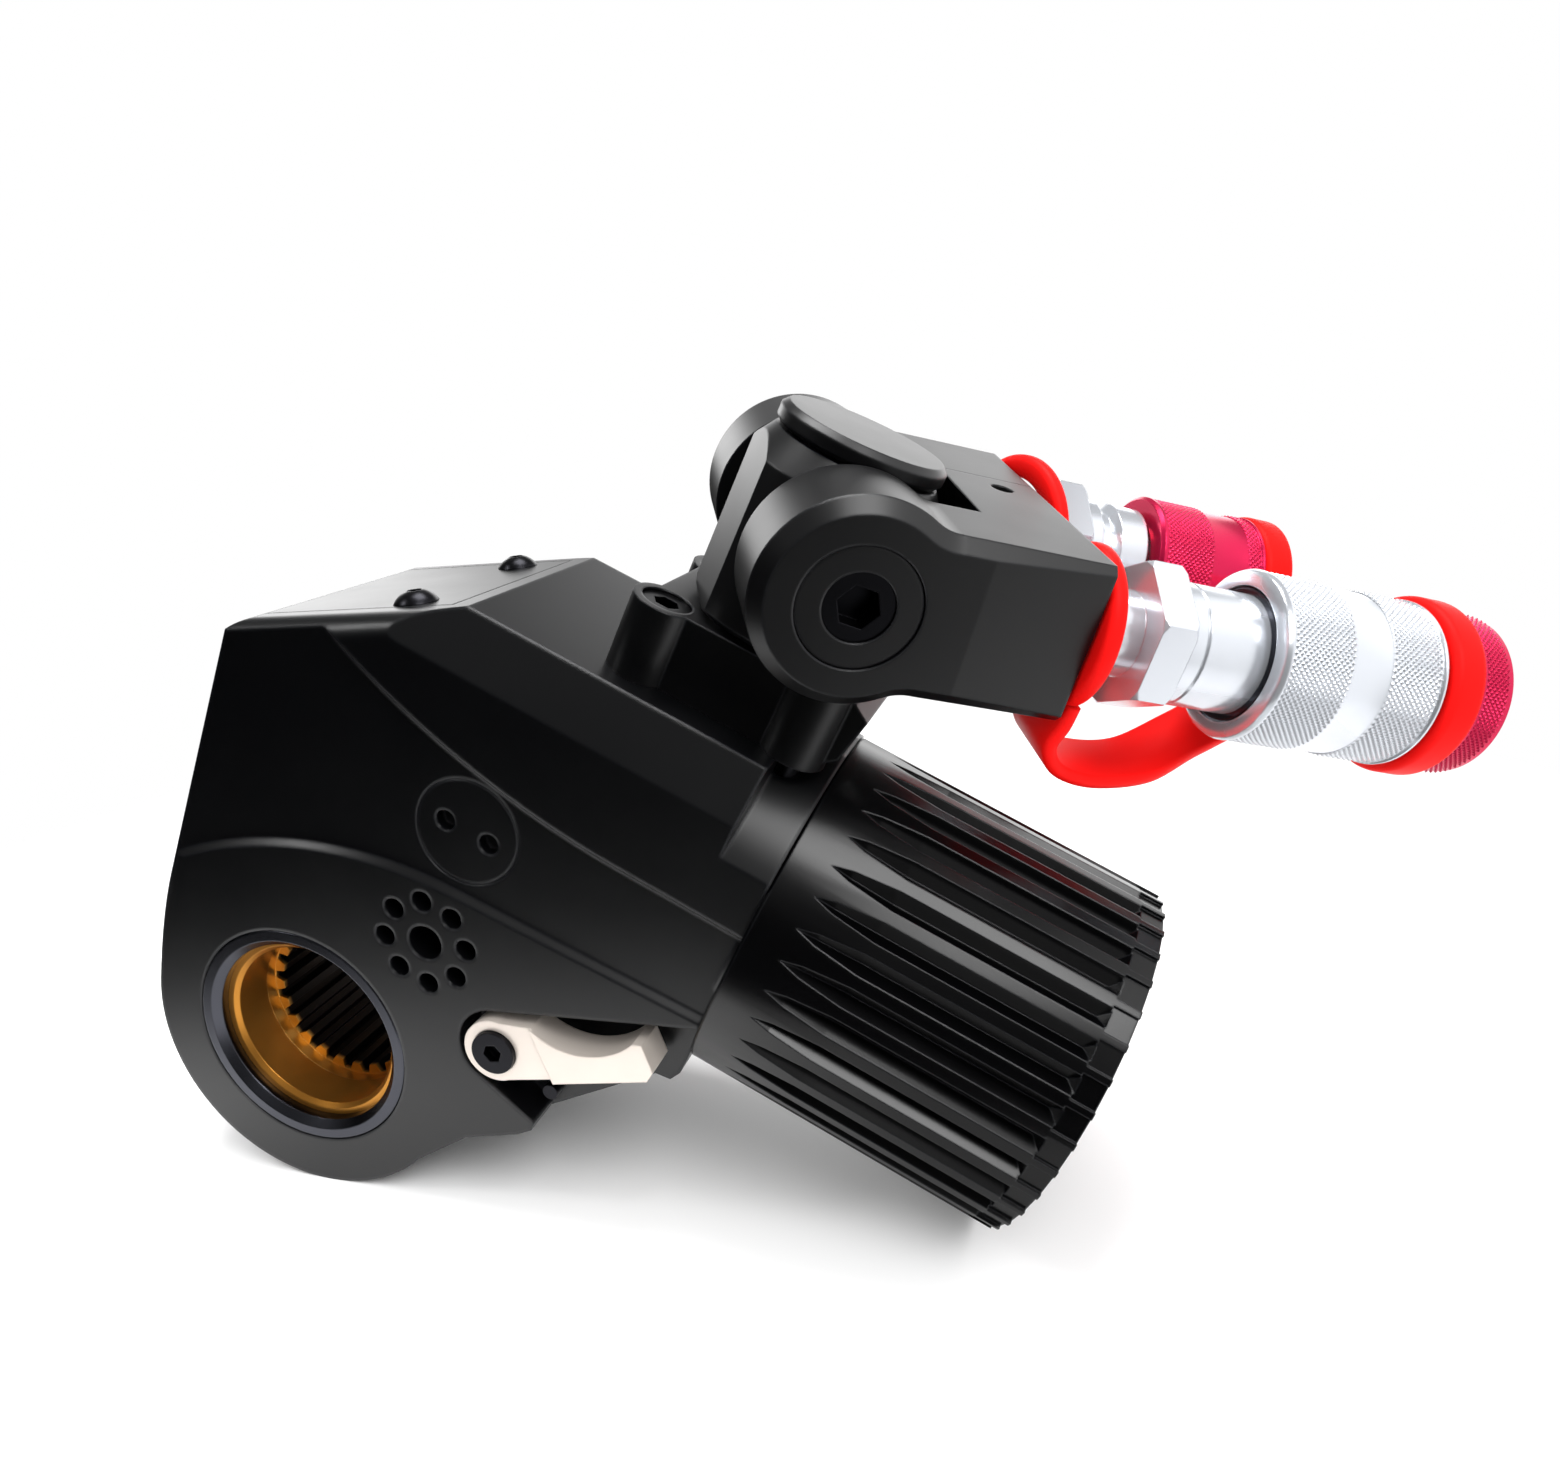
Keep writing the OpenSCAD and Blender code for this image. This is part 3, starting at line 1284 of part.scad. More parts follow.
module band(stops, thick) {
    rings = band_rings(smooth_route(stops, band_steps), thick);
    last = len(rings) - 1;
    n = len(band_section);
    polyhedron(points = [for (r = rings, q = r) q],
        faces = concat([[for (k = [n - 1:-1:0]) k]], [[for (k = [0:n - 1]) n * last + k]],
            [for (i = [0:n:n * (last - 1)], k = [0:n - 1]) [i + k, i + (k + 1) % n, i + n + k]],
            [for (i = [0:n:n * (last - 1)], k = [0:n - 1])
                [i + (k + 1) % n, i + n + (k + 1) % n, i + n + k]]));
}

// Rubber ring with softened outer edges
module soft_ring(r_in, r_out, z0, z1) {
    rotate_extrude() polygon([[r_in, z0], [r_out - ring_soft, z0], [r_out, z0 + ring_soft],
        [r_out, z1 - ring_soft], [r_out - ring_soft, z1], [r_in, z1]]);
}

module plug_strap() {
    start = sleeve_end + passing_gap;
    color([0.9, 0.03, 0.03]) at_port(-1) {
        soft_ring(neck_r0 + ring_ease, anchor_r, anchor_z, anchor_z + anchor_t);
        soft_ring(plug_waist_r + ring_ease, plug_ring_r, start, start + plug_ring_t);
        band(plug_stops, strap_t);
    }
}

module nipple_body() {
    hex_end = neck_l + hex_l;
    dip_r = coupling_r - nipple_dip;
    dip_z = hex_end + 3;
    step = nipple_shoulder + 2.4;
    latch_r = nose_r1 - 1;
    color([0.74, 0.75, 0.76]) at_port(1) difference() {
        union() {
            translate([0, 0, -neck_in]) cylinder(r = neck_r0, h = neck_in + neck_l + over);
            hex_bar(coupling_hex, neck_l, hex_end);
            rotate_extrude() polygon([[0, hex_end - over], [coupling_r, hex_end - over],
                [coupling_r, dip_z], [dip_r, dip_z + 1.2], [dip_r, dip_z + 2.8], [coupling_r, dip_z + 4],
                [coupling_r, step], [nose_r1 + 2, step], [nose_r1, nipple_shoulder + 5],
                [nose_r1, nipple_end - 6], [latch_r, nipple_end - 5], [latch_r, nipple_end - 3],
                [nose_r1, nipple_end - 2], [nose_r1 - 0.6, nipple_end], [0, nipple_end]]);
        }
        translate([0, 0, nipple_end - nipple_bore_l])
            cylinder(r = nipple_poppet_r + 0.1, h = nipple_bore_l + over);
        translate([0, 0, -neck_in - over]) cylinder(r = oil_r, h = 50);
    }
}

module nipple_poppet() {
    stem = nipple_end - 14;
    head = nipple_end - nipple_head_l;
    tip = nipple_end - 0.5;
    color([0.66, 0.6, 0.42]) at_port(1) rotate_extrude() polygon([[0, stem], [1.6, stem], [1.6, head],
        [nipple_poppet_r, head], [nipple_poppet_r, tip - 1.5], [2, tip], [0, tip]]);
}

module nipple_poppet_spring() {
    color([0.7, 0.7, 0.68]) at_port(1)
        spring_tube(2.7, 0.7, nipple_end - nipple_bore_l, nipple_end - nipple_head_l);
}

// Anodised dust cap over the nipple: knurled skirt, smooth waist, groove for the rubber ring
module dust_cap() {
    skirt_r = nose_r1 + 2.6;
    bore = nose_r1 + running_gap;
    waist_r = dust_cap_r - waist_drop;
    waist = dust_cap_z + 11.5;
    last = cap_end + cap_ring_t - 1;
    deep = nipple_shoulder + 8;
    color([0.72, 0.05, 0.2]) at_port(1) rotate_extrude() polygon([
        [skirt_r, dust_cap_z], [dust_cap_r - 0.6, dust_cap_z], [dust_cap_r, dust_cap_z + 0.6],
        [dust_cap_r, waist], [waist_r, waist + waist_drop], [waist_r, waist + 7], [dust_cap_r, waist + 7.5],
        [dust_cap_r, cap_end], [cap_groove_r, cap_end], [cap_groove_r, last], [0, last],
        [0, nipple_end + 1], [bore, nipple_end + 1], [bore, deep], [skirt_r, deep]]);
}

module cap_strap() {
    color([0.9, 0.03, 0.03]) at_port(1) {
        translate([0, 0, far_anchor_z]) rotate([-far_anchor_lean, 0, 0])
            soft_ring(far_anchor_in, far_anchor_r, -far_anchor_t / 2, far_anchor_t / 2);
        soft_ring(cap_groove_r + ring_ease, dust_cap_r + 0.6, cap_end + 0.1, cap_end + cap_ring_t - 1);
        band(cap_stops, strap_t);
    }
}

housing();
shroud();
shroud_screws();
cover_discs();
face_rings();
drive_bushes();
end_cap();
end_cap_seal();
rod_gland();
rod_seal();
lever_stop_pin();
swivel_base();
base_screws();
port_seals();
swivel_post();
post_cap();
ratchet_wheel();
drive_plates();
drive_pawl();
drive_pawl_pin();
pawl_spring();
piston();
piston_seal();
piston_rod();
piston_bolt();
rod_pin();
release_lever();
lever_screw();
lever_shaft();
holding_pawl();
cross_block();
cross_seals();
tilt_pins();
tilt_plugs();
tilt_seals();
yoke();
yoke_arm();
yoke_set_screw();
coupler_body();
coupler_poppet();
coupler_poppet_spring();
coupler_ring();
coupler_sleeve();
sleeve_spring();
locking_balls();
dust_plug();
plug_strap();
nipple_body();
nipple_poppet();
nipple_poppet_spring();
dust_cap();
cap_strap();
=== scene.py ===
"""Looks of the hydraulic torque wrench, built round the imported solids, in the row frame.

Sizes of pieces and edges are in mm until they are placed. The studio is in metres.
"""

import json
import math

import bmesh
import bpy
from mathutils import Matrix, Vector


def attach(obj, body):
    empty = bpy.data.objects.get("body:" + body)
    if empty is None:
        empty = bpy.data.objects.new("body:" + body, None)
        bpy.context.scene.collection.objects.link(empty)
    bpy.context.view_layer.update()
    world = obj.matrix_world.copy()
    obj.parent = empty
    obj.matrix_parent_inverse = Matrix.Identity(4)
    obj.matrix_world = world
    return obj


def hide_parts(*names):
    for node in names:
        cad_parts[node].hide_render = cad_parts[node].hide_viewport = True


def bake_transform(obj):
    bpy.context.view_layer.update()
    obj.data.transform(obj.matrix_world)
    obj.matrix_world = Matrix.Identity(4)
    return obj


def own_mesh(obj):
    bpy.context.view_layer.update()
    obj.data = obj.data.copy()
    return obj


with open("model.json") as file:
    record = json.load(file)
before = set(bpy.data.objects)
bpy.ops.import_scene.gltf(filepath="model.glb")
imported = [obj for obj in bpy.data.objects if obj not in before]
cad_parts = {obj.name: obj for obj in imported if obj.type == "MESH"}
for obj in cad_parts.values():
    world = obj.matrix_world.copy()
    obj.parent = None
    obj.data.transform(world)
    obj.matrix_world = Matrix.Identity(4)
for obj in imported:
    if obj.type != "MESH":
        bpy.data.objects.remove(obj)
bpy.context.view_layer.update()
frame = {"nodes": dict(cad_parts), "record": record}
MM = 0.001
UP = Vector((0, 0, 1))

# Stance: the tool stands on its nose and on the lower rim of the cylinder end, as in the part's source
NOSE_R = 33.0
CYLINDER_H, CYLINDER_R, CYLINDER_END = 64.0, 33.0, 128.6
RIM_LOW = CYLINDER_H - CYLINDER_R
STANCE = math.atan2(RIM_LOW, CYLINDER_END) + math.asin(NOSE_R / math.hypot(CYLINDER_END, RIM_LOW))
TOOL = Matrix.Rotation(STANCE, 4, "Y")

# Swivel post, yoke and the couplings' port faces
POST_X, PIVOT_H = 48.0, 128.5
SWIVEL_TURN, YOKE_TILT = math.radians(27), math.radians(9)
YOKE_L, PORT_S = 36.6, 21.1
POST = TOOL @ Matrix.Translation((POST_X * MM, 0, PIVOT_H * MM)) @ Matrix.Rotation(SWIVEL_TURN, 4, "Z")
YOKE = POST @ Matrix.Rotation(-YOKE_TILT, 4, "Y")


def port(side):
    """Frame of a coupling, with Z out of the yoke's port face and X down."""
    face = YOKE @ Matrix.Translation((YOKE_L * MM, side * PORT_S * MM, 0))
    return face @ Matrix.Rotation(math.pi / 2, 4, "Y")


COUPLER, NIPPLE = port(-1), port(1)


class Signal:
    """A shader socket that takes part in Python expressions; each operation adds a Math node."""

    def __init__(self, graph, socket):
        self.graph, self.socket = graph, socket

    def _math(self, operation, *terms):
        return self.graph.node("Math", {"operation": operation}, dict(enumerate(terms)))

    def __add__(self, other):
        return self._math("ADD", self, other)

    def __sub__(self, other):
        return self._math("SUBTRACT", self, other)

    def __rsub__(self, other):
        return self._math("SUBTRACT", other, self)

    def __mul__(self, other):
        return self._math("MULTIPLY", self, other)

    def __truediv__(self, other):
        return self._math("DIVIDE", self, other)

    def __rtruediv__(self, other):
        return self._math("DIVIDE", other, self)

    __radd__ = __add__
    __rmul__ = __mul__

    def share(self):
        """Held between 0 and 1."""
        return self.graph.node("Clamp", {}, {"Value": self, "Min": 0.0, "Max": 1.0})


class Graph:
    """A node tree in which node() adds any node and gives one of its outputs."""

    def __init__(self, tree):
        self.tree = tree

    def node(self, kind, settings, sockets, output=0):
        made = self.tree.nodes.new("ShaderNode" + kind)
        for key, value in settings.items():
            setattr(made, key, value)
        for key, value in sockets.items():
            if isinstance(value, Signal):
                self.tree.links.new(value.socket, made.inputs[key])
            else:
                made.inputs[key].default_value = value
        return Signal(self, made.outputs[output])

    def ramp(self, value, low, high, start=0.0, end=1.0):
        """Smooth change from start to end, while the value goes from low to high."""
        return self.node("MapRange", {"interpolation_type": "SMOOTHSTEP"},
                         {"Value": value, "From Min": low, "From Max": high, "To Min": start, "To Max": end})

    def along(self, vector, axis):
        return self.node("SeparateXYZ", {}, {"Vector": vector}, axis)


class Finish(Graph):
    """A node material, which surface() ends in one shader."""

    def __init__(self, name):
        self.material = bpy.data.materials.new(name)
        self.material.use_nodes = True
        self.material.node_tree.nodes.clear()
        super().__init__(self.material.node_tree)
        self.place = self.node("TexCoord", {}, {}, "Object")

    def noise(self, scale, detail):
        return self.node("TexNoise", {}, {"Vector": self.place, "Scale": scale, "Detail": detail,
                                          "Roughness": 0.55})

    def blend(self, amount, one, two):
        # A Mix node keeps its colours on sockets 6 and 7, and gives their mix on output 2
        return self.node("Mix", {"data_type": "RGBA"}, {0: amount, 6: one, 7: two}, 2)

    def rounded(self, edge):
        """Normal with the edges rounded to that radius in mm."""
        return self.node("Bevel", {"samples": 4}, {"Radius": edge * MM})

    def grained(self, edge, grain, height, strength):
        """Rounded normal with a grain of that height in mm on top of it."""
        return self.node("Bump", {}, {"Strength": strength, "Distance": height * MM, "Height": grain,
                                      "Normal": self.rounded(edge)})

    def edge_mask(self, edge, gain=6.0):
        """1 on edges and corners, 0 on open faces."""
        flat = self.node("NewGeometry", {}, {}, "Normal")
        normals = {0: self.rounded(edge), 1: flat}
        same = self.node("VectorMath", {"operation": "DOT_PRODUCT"}, normals, "Value")
        return ((1 - same) * gain).share()

    def surface(self, **sockets):
        named = {key.replace("_", " "): value for key, value in sockets.items()}
        shader = self.node("BsdfPrincipled", {}, named)
        out = self.tree.nodes.new("ShaderNodeOutputMaterial")
        self.tree.links.new(shader.socket, out.inputs["Surface"])
        return self.material


def satin_black(name, shade, rough, edge, shine=0.5):
    """Blackened steel with a fine grain, a little paler on its edges, partly from wear and partly as a
    painted highlight of light on the rounded edges.
    """
    finish = Finish(name)
    grain = finish.noise(scale=5200.0, detail=2.0)
    cloud = finish.noise(scale=38.0, detail=4.0)
    # Pale edge colour: partly wear, partly a painted highlight where light catches the rounded edges
    rubbed_and_highlit = (0.03, 0.032, 0.04, 1)
    colour = finish.blend(finish.edge_mask(edge) * 0.3, shade, rubbed_and_highlit)
    return finish.surface(Base_Color=colour, Roughness=rough - 0.05 + cloud * 0.1, Specular_IOR_Level=shine,
                          Normal=finish.grained(edge, grain, height=0.03, strength=0.12))


def metal(name, shade, rough, edge, streak=0.06, whiten=0.0):
    """Metal; streak is the spread of its roughness, whiten the share that scatters light like a plating."""
    finish = Finish(name)
    cloud = finish.noise(scale=160.0, detail=4.0)
    dull = tuple(0.8 * c for c in shade[:3]) + (1,)
    return finish.surface(Base_Color=finish.blend(cloud * 0.25, shade, dull), Metallic=1.0 - whiten,
                          Roughness=rough - streak / 2 + cloud * streak, Normal=finish.rounded(edge))


def spline_steel(name, shade, painted_glint, rough, edge, depth, fade):
    """Dark steel whose tooth ends, from depth on either side, carry a painted glint: a golden colour in place
    of the bush's light reflected in them.
    """
    finish = Finish(name)
    y = finish.along(finish.place, "Y")
    # The golden tooth ends are a painted glint, not the steel's own colour
    ends = finish.ramp(y * y, ((depth - fade) * MM) ** 2, (depth * MM) ** 2)
    return finish.surface(Base_Color=finish.blend(ends, shade, painted_glint), Metallic=1.0, Roughness=rough,
                          Normal=finish.rounded(edge))


def rubber(name, shade, rough):
    finish = Finish(name)
    grain = finish.noise(scale=900.0, detail=3.0)
    return finish.surface(Base_Color=shade, Roughness=rough, Specular_IOR_Level=0.06,
                          Normal=finish.grained(0.6, grain, height=0.04, strength=0.15))


FINISHES = {
    "black_housing": satin_black("housing_black", (0.0012, 0.0013, 0.0019, 1), rough=0.33, edge=1.0),
    "black_cap": satin_black("flute_black", (0.0012, 0.0012, 0.0015, 1), rough=0.23, edge=0.4, shine=0.42),
    "black_swivel": satin_black("swivel_black", (0.0015, 0.0015, 0.002, 1), rough=0.34, edge=0.6),
    "dark_ring": metal("blued_ring", (0.07, 0.072, 0.085, 1), rough=0.26, edge=0.4),
    "bronze": metal("turned_brass", (0.54, 0.23, 0.035, 1), rough=0.32, edge=0.3, streak=0.2, whiten=0.12),
    "black_screws": metal("black_oxide", (0.02, 0.02, 0.023, 1), rough=0.3, edge=0.3),
    "tool_steel": metal("machined_steel", (0.33, 0.31, 0.28, 1), rough=0.32, edge=0.2),
    # Its golden tooth ends are a painted glint of the brass bush
    "ratchet_steel": spline_steel("phosphated_steel", (0.006, 0.004, 0.003, 1), painted_glint=(0.75, 0.42, 0.1, 1),
                                  rough=0.42, edge=0.2, depth=14.0, fade=1.4),
    "chrome_rod": metal("hard_chrome", (0.75, 0.76, 0.78, 1), rough=0.1, edge=0.2),
    "spring_steel": metal("spring_wire", (0.6, 0.6, 0.58, 1), rough=0.25, edge=0.1),
    "seal_rubber": rubber("seal_black", (0.02, 0.02, 0.02, 1), rough=0.6),
    "nickel": metal("satin_nickel", (0.78, 0.7, 0.63, 1), rough=0.3, edge=0.4, whiten=0.55),
    "zinc": metal("bright_zinc", (0.74, 0.77, 0.82, 1), rough=0.2, edge=0.3, whiten=0.27),
    "red_anodised": metal("crimson_anodised", (0.66, 0.01, 0.075, 1), rough=0.24, edge=0.3, whiten=0.3),
    "red_rubber": rubber("strap_red", (0.84, 0.006, 0.005, 1), rough=0.45),
}

for row in frame["record"]["subparts"]:
    node = frame["nodes"][row["node"]]
    node.data.materials.clear()
    node.data.materials.append(FINISHES[row["material_slot"]])


# Corners nearer than this, in metres, are one
WELD = 1e-7


def shown(name, mesh, slot, body, node):
    """Makes an object of a finished bmesh that stands for a CAD node, and rides on a body if one is named."""
    bmesh.ops.remove_doubles(mesh, verts=mesh.verts, dist=WELD)
    bmesh.ops.recalc_face_normals(mesh, faces=mesh.faces)
    data = bpy.data.meshes.new(name)
    mesh.to_mesh(data)
    mesh.free()
    data.materials.append(FINISHES[slot])
    made = bpy.data.objects.new(name, data)
    bpy.context.scene.collection.objects.link(made)
    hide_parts(node)
    if body:
        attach(made, body)
    return made


# Edges sharper than this, in degrees, stay crisp on metal and on rubber or wire
METAL_CREASE, SOFT_CREASE = 32, 50


def soften(mesh, crease):
    for face in mesh.faces:
        face.smooth = True
    for edge in mesh.edges:
        edge.smooth = edge.calc_face_angle(0) < math.radians(crease)


LATHE_STEPS = 96


def lathe(mesh, outline, place):
    """Turns a closed outline of (radius, along) about the Z axis of a place."""
    corners = [mesh.verts.new(place @ Vector((r * MM, 0, z * MM))) for r, z in outline]
    edges = [mesh.edges.new((corners[i - 1], corners[i])) for i in range(len(corners))
             if outline[i - 1][0] or outline[i][0]]
    bmesh.ops.spin(mesh, geom=corners + edges, cent=place.translation, axis=place.to_3x3() @ UP,
                   angle=2 * math.pi, steps=LATHE_STEPS, use_merge=True)


# Knurl: size and depth of its diamonds, and how far the points rise from the root
KNURL_PITCH, KNURL_DEPTH = 1.05, 0.42
KNURL_RISE = 0.92 * KNURL_DEPTH


def knurl(mesh, radius, low, high, place):
    """Diamond knurl on a band: a wall of squares turned into diamonds, each raised to a point."""
    root = (radius - KNURL_DEPTH) * MM
    columns = round(2 * math.pi * radius / KNURL_PITCH)
    rows = max(2, round((high - low) / KNURL_PITCH))
    wall = bmesh.new()
    bmesh.ops.create_cone(wall, cap_ends=False, segments=columns, radius1=root, radius2=root,
                          depth=(high - low) * MM)
    upright = [e for e in wall.edges if abs(e.verts[0].co.z - e.verts[1].co.z) > 1e-6]
    bmesh.ops.subdivide_edges(wall, edges=upright, cuts=rows - 1, use_grid_fill=True)
    squares = [e for e in wall.edges if len(e.link_faces) == 2]
    bmesh.ops.poke(wall, faces=wall.faces[:])
    bmesh.ops.dissolve_edges(wall, edges=squares, use_verts=False)
    bmesh.ops.recalc_face_normals(wall, faces=wall.faces)
    diamonds = [f for f in wall.faces if len(f.verts) == 4]
    bmesh.ops.poke(wall, faces=diamonds, offset=KNURL_RISE * MM)
    middle = Matrix.Translation((0, 0, (low + high) / 2 * MM))
    bmesh.ops.transform(wall, matrix=place @ middle, verts=wall.verts)
    spare = bpy.data.meshes.new("knurl")
    wall.to_mesh(spare)
    wall.free()
    mesh.from_mesh(spare)
    bpy.data.meshes.remove(spare)


def knurled(name, outline, radius, bands, place, slot, body, node):
    """Turned piece with knurled bands of that radius."""
    mesh = bmesh.new()
    lathe(mesh, outline, place)
    soften(mesh, METAL_CREASE)
    for low, high in bands:
        knurl(mesh, radius, low, high, place)
    shown(name, mesh, slot, body, node)


# Couplings, along each axis from the yoke's port face. The root under a knurled band starts a little inside
# the band, the smooth land beside it a little outside, and a waist rises from the root in a short ramp.
ROOT_IN, LAND_OUT, WAIST_RAMP, WAIST_DROP = 0.1, 0.2, 0.4, 0.5


def rim(radius, face, cuts):
    """Points of a softened rim, from cuts of (in from the radius, along from the face)."""
    return [(radius - inward, face + along) for inward, along in cuts]


SLEEVE_R, SLEEVE_Z, SLEEVE_END = 14.2, 30.0, 60.4
SLEEVE_BANDS = [(31.5, 42.8), (49.6, 59.1)]
SLEEVE_WAIST = (43.0, 49.4)
SLEEVE_FRONT_RIM, SLEEVE_REAR_RIM = [(0.9, 0), (0.3, 0.3), (0, 0.9)], [(0, -0.7), (0.8, 0)]
# Radii of the mouth, of the room for the spring and of the lip that slides, and their lengths
MOUTH_R, MOUTH_L = 11.4, 5.4
SPRING_ROOM_R = 10.3
LIP_R, LIP_L = 9.05, 9.0


def sleeve():
    root, waist = SLEEVE_R - KNURL_DEPTH, SLEEVE_R - WAIST_DROP
    (front, _), (_, rear) = SLEEVE_BANDS
    waist_from, waist_to = SLEEVE_WAIST
    lip, mouth = SLEEVE_END - LIP_L, SLEEVE_Z + MOUTH_L
    outline = [
        (MOUTH_R, SLEEVE_Z), *rim(SLEEVE_R, SLEEVE_Z, SLEEVE_FRONT_RIM),
        (SLEEVE_R, front - LAND_OUT), (root, front + ROOT_IN), (root, waist_from - WAIST_RAMP),
        (waist, waist_from), (waist, waist_to),
        (root, waist_to + WAIST_RAMP), (root, rear - ROOT_IN), (SLEEVE_R, rear + LAND_OUT),
        *rim(SLEEVE_R, SLEEVE_END, SLEEVE_REAR_RIM),
        (LIP_R, SLEEVE_END), (LIP_R, lip), (SPRING_ROOM_R, lip), (SPRING_ROOM_R, mouth), (MOUTH_R, mouth)]
    knurled("knurled_sleeve", outline, SLEEVE_R, SLEEVE_BANDS, COUPLER, "zinc", "sleeve", "coupler_sleeve")


PLUG_R, PLUG_Z, PLUG_HEAD, PLUG_END, PLUG_WAIST_R = 14.0, 60.7, 66.6, 73.6, 11.0
PLUG_BANDS = [(67.6, 72.4)]
PLUG_FRONT_RIM, PLUG_REAR_RIM = [(0.4, 0), (0, 0.4)], [(0.5, -0.5), (1.1, 0)]
# Probe in the coupler's socket, with its tapered tip
PROBE_R, PROBE_Z, TIP_R, TIP_L = 6.15, 44.4, 5.7, 1.0


def plug():
    root = PLUG_R - KNURL_DEPTH
    (front, rear), = PLUG_BANDS
    outline = [
        (0, PROBE_Z), (TIP_R, PROBE_Z), (PROBE_R, PROBE_Z + TIP_L), (PROBE_R, PLUG_Z),
        (PLUG_WAIST_R, PLUG_Z), (PLUG_WAIST_R, PLUG_HEAD), *rim(PLUG_R, PLUG_HEAD, PLUG_FRONT_RIM),
        (PLUG_R, front - LAND_OUT), (root, front + ROOT_IN), (root, rear - ROOT_IN),
        *rim(PLUG_R, PLUG_END, PLUG_REAR_RIM), (0, PLUG_END)]
    knurled("knurled_plug", outline, PLUG_R, PLUG_BANDS, COUPLER, "red_anodised", "dust_plug", "dust_plug")


CAP_R, CAP_Z, CAP_END, CAP_LAST, CAP_GROOVE_R = 12.8, 29.8, 52.0, 58.2, 10.4
CAP_BANDS = [(31.2, 41.3), (48.5, 51.4)]
CAP_WAIST = (41.6, 48.2)
CAP_RIM = [(0.6, 0), (0, 0.6)]
# Inside: the skirt round the nipple's shoulder, and the bore on its nose
SKIRT_R, SKIRT_END = 8.6, 34.0
BORE_R, BORE_END = 6.05, 45.0


def cap():
    root, waist = CAP_R - KNURL_DEPTH, CAP_R - WAIST_DROP
    (front, _), (_, rear) = CAP_BANDS
    waist_from, waist_to = CAP_WAIST
    outline = [
        (SKIRT_R, CAP_Z), *rim(CAP_R, CAP_Z, CAP_RIM),
        (CAP_R, front - LAND_OUT), (root, front + ROOT_IN), (root, waist_from - WAIST_RAMP),
        (waist, waist_from), (waist, waist_to),
        (root, waist_to + WAIST_RAMP), (root, rear - ROOT_IN), (CAP_R, rear + LAND_OUT), (CAP_R, CAP_END),
        (CAP_GROOVE_R, CAP_END), (CAP_GROOVE_R, CAP_LAST), (0, CAP_LAST),
        (0, BORE_END), (BORE_R, BORE_END), (BORE_R, SKIRT_END), (SKIRT_R, SKIRT_END)]
    knurled("knurled_cap", outline, CAP_R, CAP_BANDS, NIPPLE, "red_anodised", "dust_cap", "dust_cap")


# Straps: a stop is (along the coupling, out from its axis, turn about it in degrees, width)
STRAP_T, STRAP_W, STRAP_SLIM = 2.6, 11.0, 9.9
SECTION_SIDES, ROUTE_STEPS = 16, 8
PLUG_STOPS = [(2.6, 10.6, 0, 17.6), (2.3, 14.2, 0, 17.6), (1.6, 18.6, 0, 17.0), (4.8, 22.4, 0, 16.0),
              (11.8, 24.0, 0, 14.0), (22.0, 22.8, 4, 12.0), (33.0, 19.8, 20, STRAP_SLIM),
              (46.0, 17.7, 42, STRAP_SLIM), (58.0, 16.8, 50, STRAP_SLIM), (62.4, 15.8, 52, STRAP_SLIM),
              (64.4, 13.0, 52, STRAP_SLIM)]
CAP_STOPS = [(5.0, 13.4, 0, STRAP_W), (5.6, 17.6, 0, STRAP_W), (9.0, 19.8, 0, STRAP_W),
             (17.0, 20.8, 0, STRAP_W), (29.8, 18.4, 0, STRAP_SLIM), (46.0, 15.6, 0, STRAP_SLIM),
             (53.0, 15.0, 0, STRAP_SLIM), (55.4, 11.8, 0, STRAP_SLIM)]
# Their rings: inner radius, outer radius, from, to. The one behind the nipple leans.
RING_EASE, RING_CHAMFER, RING_ROUND = 0.15, 0.3, 1.2
PLUG_YOKE_RING = (7.0 + RING_EASE, 13.2, 0.6, 3.6)
PLUG_RING = (PLUG_WAIST_R + RING_EASE, 15.2, PLUG_Z, PLUG_HEAD)
CAP_YOKE_RING = (11.4, 15.6, -1.5, 1.5)
CAP_YOKE_RING_Z, CAP_YOKE_RING_LEAN = 5.0, math.radians(-15)
CAP_RING = (CAP_GROOVE_R + RING_EASE, 13.2, CAP_END + 0.1, CAP_LAST)
# Stretch of each coupling along which its strap goes over from the yoke to the plug or the cap
PLUG_BEND, CAP_BEND = (14, 58), (14, 50)


def route(stops):
    """Stops with a smooth curve of further ones between them."""
    stops = [Vector(stop) for stop in stops]
    last = len(stops) - 1
    for i in range(last):
        before, here, there, after = stops[max(i - 1, 0)], stops[i], stops[i + 1], stops[min(i + 2, last)]
        for k in range(ROUTE_STEPS):
            t = k / ROUTE_STEPS
            yield here + (there - before + (2 * before - 5 * here + 4 * there - after
                                            + (3 * here - before - 3 * there + after) * t) * t) * (t / 2)
    yield stops[last]


